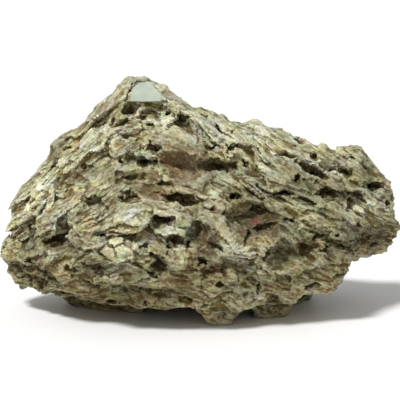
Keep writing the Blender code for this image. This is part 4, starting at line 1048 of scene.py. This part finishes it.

# Stains by name, in millimetres and degrees: across, up, length, height and tilt. The deep ones
# are painted shade in the cavities, the brown ones along the bottom are partly painted shade and
# some pale ones are painted light. The last two, shade and light, are painted shade and painted
# light: they only darken or lighten.
STAINS = {
    "ochre": [
        (-63, 76, 7, 20, -35), (-72, 64, 9, 18, -40), (-92, 40, 20, 7, 45), (-111, 4, 9, 26, -8),
        (-82, 10, 14, 10, 0), (-104, 18, 14, 7, 40), (77, -36, 13, 15, 0), (48, -31, 18, 5, -15),
        (58, -64, 16, 7, 0), (40, -60, 14, 6, 0), (-20, -62, 34, 6, 0), (92, -60, 26, 7, 5),
        (-60, -56, 24, 6, 0), (-68, 52, 6, 12, -30), (10, -70, 30, 6, 0), (106, -46, 12, 12, 0),
        (-84, -20, 10, 14, 0), (-45, 6, 14, 6, 0), (-13, 28, 26, 17, -20), (-112, -12, 11, 22, 0),
        (86, -34, 20, 12, 0), (-97, -58, 22, 5, 0), (64, 36, 20, 4, -15), (-41, -26, 20, 8, 0),
        (-58, -50, 24, 8, 0), (-37, -74, 30, 8, 0), (30, -46, 16, 6, 0), (112, 2, 16, 10, 0),
    ],
    "pink": [
        (-30, 51, 10, 5, 0), (-96, 21, 10, 9, 0), (-14, 9, 10, 4, -20), (80, 32, 14, 4, -20),
        (41, -16, 9, 6, 0), (-62, -23, 16, 5, 0), (-12, -10, 10, 7, 0), (-45, 12, 12, 8, 0),
        (32, -45, 18, 5, -25), (-28, 5, 14, 5, 0), (8, -58, 14, 5, 0), (-115, -62, 20, 5, 0),
    ],
    # Pale patches of the stone; some are painted light over places that lie in shade.
    "pale": [
        (-42, 80, 24, 14, 0), (-51, -11, 20, 17, 0), (-62, -36, 20, 15, 0), (-18, -24, 24, 9, 0),
        (-21, 60, 10, 4, -20), (8, 1, 16, 13, 0), (39, 1, 18, 7, -20), (94, -21, 12, 7, 0),
        (-36, 59, 16, 6, 0), (-62, -46, 24, 6, 0), (-12, -46, 8, 16, 0), (-66, 44, 20, 6, 35),
        (116, -8, 26, 7, -15), (52, 24, 20, 10, -40), (90, 24, 26, 4, -27), (-8, 46, 20, 7, -15),
        (134, -5, 20, 8, -20), (40, 46, 24, 5, -10), (-64, -13, 16, 6, 0), (28, -36, 30, 5, -20),
        (8, 62, 22, 5, -35), (46, -52, 16, 5, -40), (74, -4, 24, 5, -15), (-86, -38, 24, 5, -15),
        (-38, 36, 18, 4, 0), (20, 14, 24, 5, -10), (-112, -40, 30, 5, -5), (-76, 18, 16, 5, 0),
        (14, 48, 70, 12, -24), (52, 5, 26, 9, -30), (32, -47, 38, 9, -30), (-54, -50, 28, 9, 0),
        (-106, -14, 14, 16, 0),
    ],
    "green": [
        (22, -69, 30, 12, 0), (-66, -70, 22, 9, 0), (60, -48, 22, 14, 0), (116, -24, 22, 18, 0),
        (-116, 14, 40, 12, 45), (4, 56, 34, 8, -35), (-98, 36, 30, 8, 45), (112, -12, 20, 7, 0),
        (-14, 30, 8, 14, 0), (28, -8, 22, 8, 0), (-112, -14, 12, 14, 0), (-40, -68, 20, 8, 0),
        (62, 6, 20, 8, 0), (100, 36, 30, 6, 0), (84, 0, 50, 16, -10), (116, 16, 30, 14, -15),
        (92, -26, 40, 12, 0), (-128, 0, 20, 8, 45), (-26, 66, 14, 6, 0),
    ],
    # Dirt in the hollows; the long ovals along the bottom are partly painted shade.
    "brown": [
        (-14, 26, 34, 26, -15), (-30, 41, 18, 12, -20), (48, -17, 48, 30, 0), (-40, 8, 30, 8, 0),
        (12, -24, 20, 40, -20), (5, -44, 30, 30, 0), (10, -52, 20, 10, 0), (-20, -40, 18, 10, 0),
        (-80, -50, 24, 12, 0), (-104, -34, 30, 8, 0), (-122, -52, 30, 10, 0),
        (-60, -80, 160, 12, 0), (30, -84, 60, 14, 0), (58, -78, 30, 14, 0), (-115, -72, 50, 10, 0),
        (130, -30, 34, 10, 0), (90, 21, 24, 8, -24), (-50, 50, 24, 8, 0), (-72, 57, 8, 10, 0),
        (-130, -24, 18, 8, 0), (88, -38, 24, 14, 0), (-6, 18, 24, 8, -10), (96, -64, 30, 8, 0),
        (20, -36, 14, 12, 0),
    ],
    # Painted shade in the cavities.
    "deep": [
        (42, -18, 46, 26, -10), (4, -30, 22, 34, 0), (122, -28, 32, 22, 0), (-30, -50, 16, 12, 0),
        (-104, -36, 28, 10, 0), (-84, -49, 20, 8, 0), (60, -42, 26, 16, 0),
    ],
    "tan": [
        (-13, 27, 38, 26, -20), (-36, 5, 18, 14, 0), (40, -31, 12, 6, 20),
    ],
    "red": [
        (42, -16, 10, 7, 0),
    ],
    "shade": [
        (34, -11, 60, 36, 0), (18, -22, 84, 16, 0), (0, -15, 22, 40, 0), (7, -49, 40, 34, 0),
        (90, 12, 60, 18, -15), (76, -38, 36, 36, 0), (101, -42, 20, 30, 0), (124, -28, 32, 20, 0),
        (-81, -46, 32, 16, 0), (-120, -45, 34, 20, 0), (-104, -60, 66, 18, 0),
        (-75, -74, 66, 14, 0), (-22, -70, 60, 12, 0), (112, 4, 30, 10, -10), (-75, 0, 20, 8, 0),
        (46, -62, 50, 16, 0), (-36, 8, 30, 10, 0), (-110, -34, 60, 18, 0), (26, 0, 18, 22, 0),
        (-66, 18, 40, 12, -10), (4, -27, 50, 14, 0), (56, -20, 40, 12, -10), (-82, -55, 36, 14, 0),
        (-104, -50, 84, 30, 5), (-60, -67, 90, 16, 0), (-105, 38, 20, 14, 45),
        (118, 20, 34, 12, -20), (-30, -50, 24, 12, 0), (-60, 66, 10, 24, -40), (-30, 64, 12, 8, 0),
        (12, -7, 16, 14, 0), (-27, -42, 16, 12, 0), (138, 22, 16, 12, 0),
    ],
    "light": [
        (16, 50, 84, 16, -20), (60, 26, 34, 26, -30), (-51, -13, 26, 17, 0), (-112, -8, 16, 30, 0),
        (-114, 16, 60, 20, 50), (30, -38, 40, 12, -35), (-56, -49, 30, 12, 0), (8, 5, 14, 8, 0),
        (92, -22, 42, 16, -5), (-15, -38, 10, 20, 0), (128, -5, 28, 12, -10),
        (-72, 54, 40, 10, 45), (100, 36, 40, 8, -10), (-24, 60, 20, 12, -20), (88, 26, 30, 5, -27),
        (-14, 45, 38, 14, -20), (-62, -36, 22, 14, 0), (52, 5, 34, 13, -20),
        (30, -48, 40, 12, -10), (-106, -18, 20, 22, 0), (-54, -51, 26, 12, 0),
        (-15, 58, 26, 14, -20), (22, 38, 56, 14, -20), (-26, 4, 24, 10, 0), (-6, 8, 20, 10, 0),
        (74, 24, 24, 20, -20), (105, -1, 24, 12, 0), (138, 2, 14, 16, 0), (-133, -19, 16, 10, 0),
        (-135, -50, 14, 8, 0), (-18, -24, 26, 10, 0), (-79, 36, 22, 10, 30),
    ],
}


def stain(mesh):
    """Stores how strongly each stain marks each corner of the front."""
    count = len(mesh.vertices)
    places = np.empty(count * 3)
    mesh.vertices.foreach_get("co", places)
    normals = np.empty(count * 3)
    mesh.vertex_normals.foreach_get("vector", normals)
    sights = places.reshape(-1, 3) - np.array(EYE)
    ahead = sights @ np.array((EYE_AIM - EYE).normalized())
    across = sights[:, 0] * EYE_DISTANCE / ahead / MM
    up = sights @ np.array(EYE_UP) * EYE_DISTANCE / ahead / MM
    facing = -(sights * normals.reshape(-1, 3)).sum(axis=1) / ahead
    front = np.clip(facing * FACING_GAIN + 1, 0, 1)
    front *= np.clip((STAINS_END - places[1::3] / MM) / STAINS_FADE, 0, 1)
    for name, spots in STAINS.items():
        marks = np.zeros(count)
        for middle, height, length, width, tilt in spots:
            right, rise = across - middle, up - height
            turn, climb = math.cos(math.radians(tilt)), math.sin(math.radians(tilt))
            along = (right * turn + rise * climb) / length * 2
            aside = (rise * turn - right * climb) / width * 2
            marks = np.maximum(marks, np.clip(STAIN_EDGE - np.hypot(along, aside), 0, 1))
        attribute = mesh.attributes.new(name, "FLOAT", "POINT")
        attribute.data.foreach_set("value", marks * front)


stain(stone_mesh)
stone = bpy.data.objects.new("weathered_stone", stone_mesh)
bpy.context.scene.collection.objects.link(stone)
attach(stone, "root")
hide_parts("dragon_stone")

# ---------------------------------------------------------------------------------------------
# The floor, the light and the camera
# A pale, plain floor under the stone, an even white studio with one broad, soft light from
# above, in front and on the left, and a long lens at the place of the eye.
# ---------------------------------------------------------------------------------------------
FLOOR_HALF = 30
FLOOR_COLOUR = (0.9, 0.9, 0.9, 1)
STUDIO_COLOUR = (1, 1, 1, 1)
STUDIO_STRENGTH = 0.45
LIGHT_STRENGTH = 3.3
LIGHT_WIDTH = math.radians(12)
LIGHT_DIRECTION = Vector((0.38, 0.45, -0.85))
LENS = 144
SENSOR = 36

bm = bmesh.new()
bmesh.ops.create_grid(bm, x_segments=1, y_segments=1, size=FLOOR_HALF)
floor = object_from("floor", bm)
floor_paint = bpy.data.materials.new("pale floor")
floor_paint.use_nodes = True
floor_shader = floor_paint.node_tree.nodes["Principled BSDF"]
floor_shader.inputs["Base Color"].default_value = FLOOR_COLOUR
floor.data.materials.append(floor_paint)

studio = bpy.data.worlds.new("studio")
studio.use_nodes = True
studio.node_tree.nodes["Background"].inputs["Color"].default_value = STUDIO_COLOUR
studio.node_tree.nodes["Background"].inputs["Strength"].default_value = STUDIO_STRENGTH
bpy.context.scene.world = studio

light = bpy.data.objects.new("key light", bpy.data.lights.new("key light", "SUN"))
bpy.context.scene.collection.objects.link(light)
light.data.energy = LIGHT_STRENGTH
light.data.angle = LIGHT_WIDTH
light.rotation_euler = LIGHT_DIRECTION.to_track_quat("-Z", "Y").to_euler()

camera = bpy.data.objects.new("camera", bpy.data.cameras.new("camera"))
bpy.context.scene.collection.objects.link(camera)
camera.data.lens = LENS
camera.data.sensor_width = SENSOR
camera.location = EYE
camera.rotation_euler = (EYE_AIM - EYE).to_track_quat("-Z", "Y").to_euler()
bpy.context.scene.camera = camera
bpy.context.scene.view_settings.view_transform = "Standard"
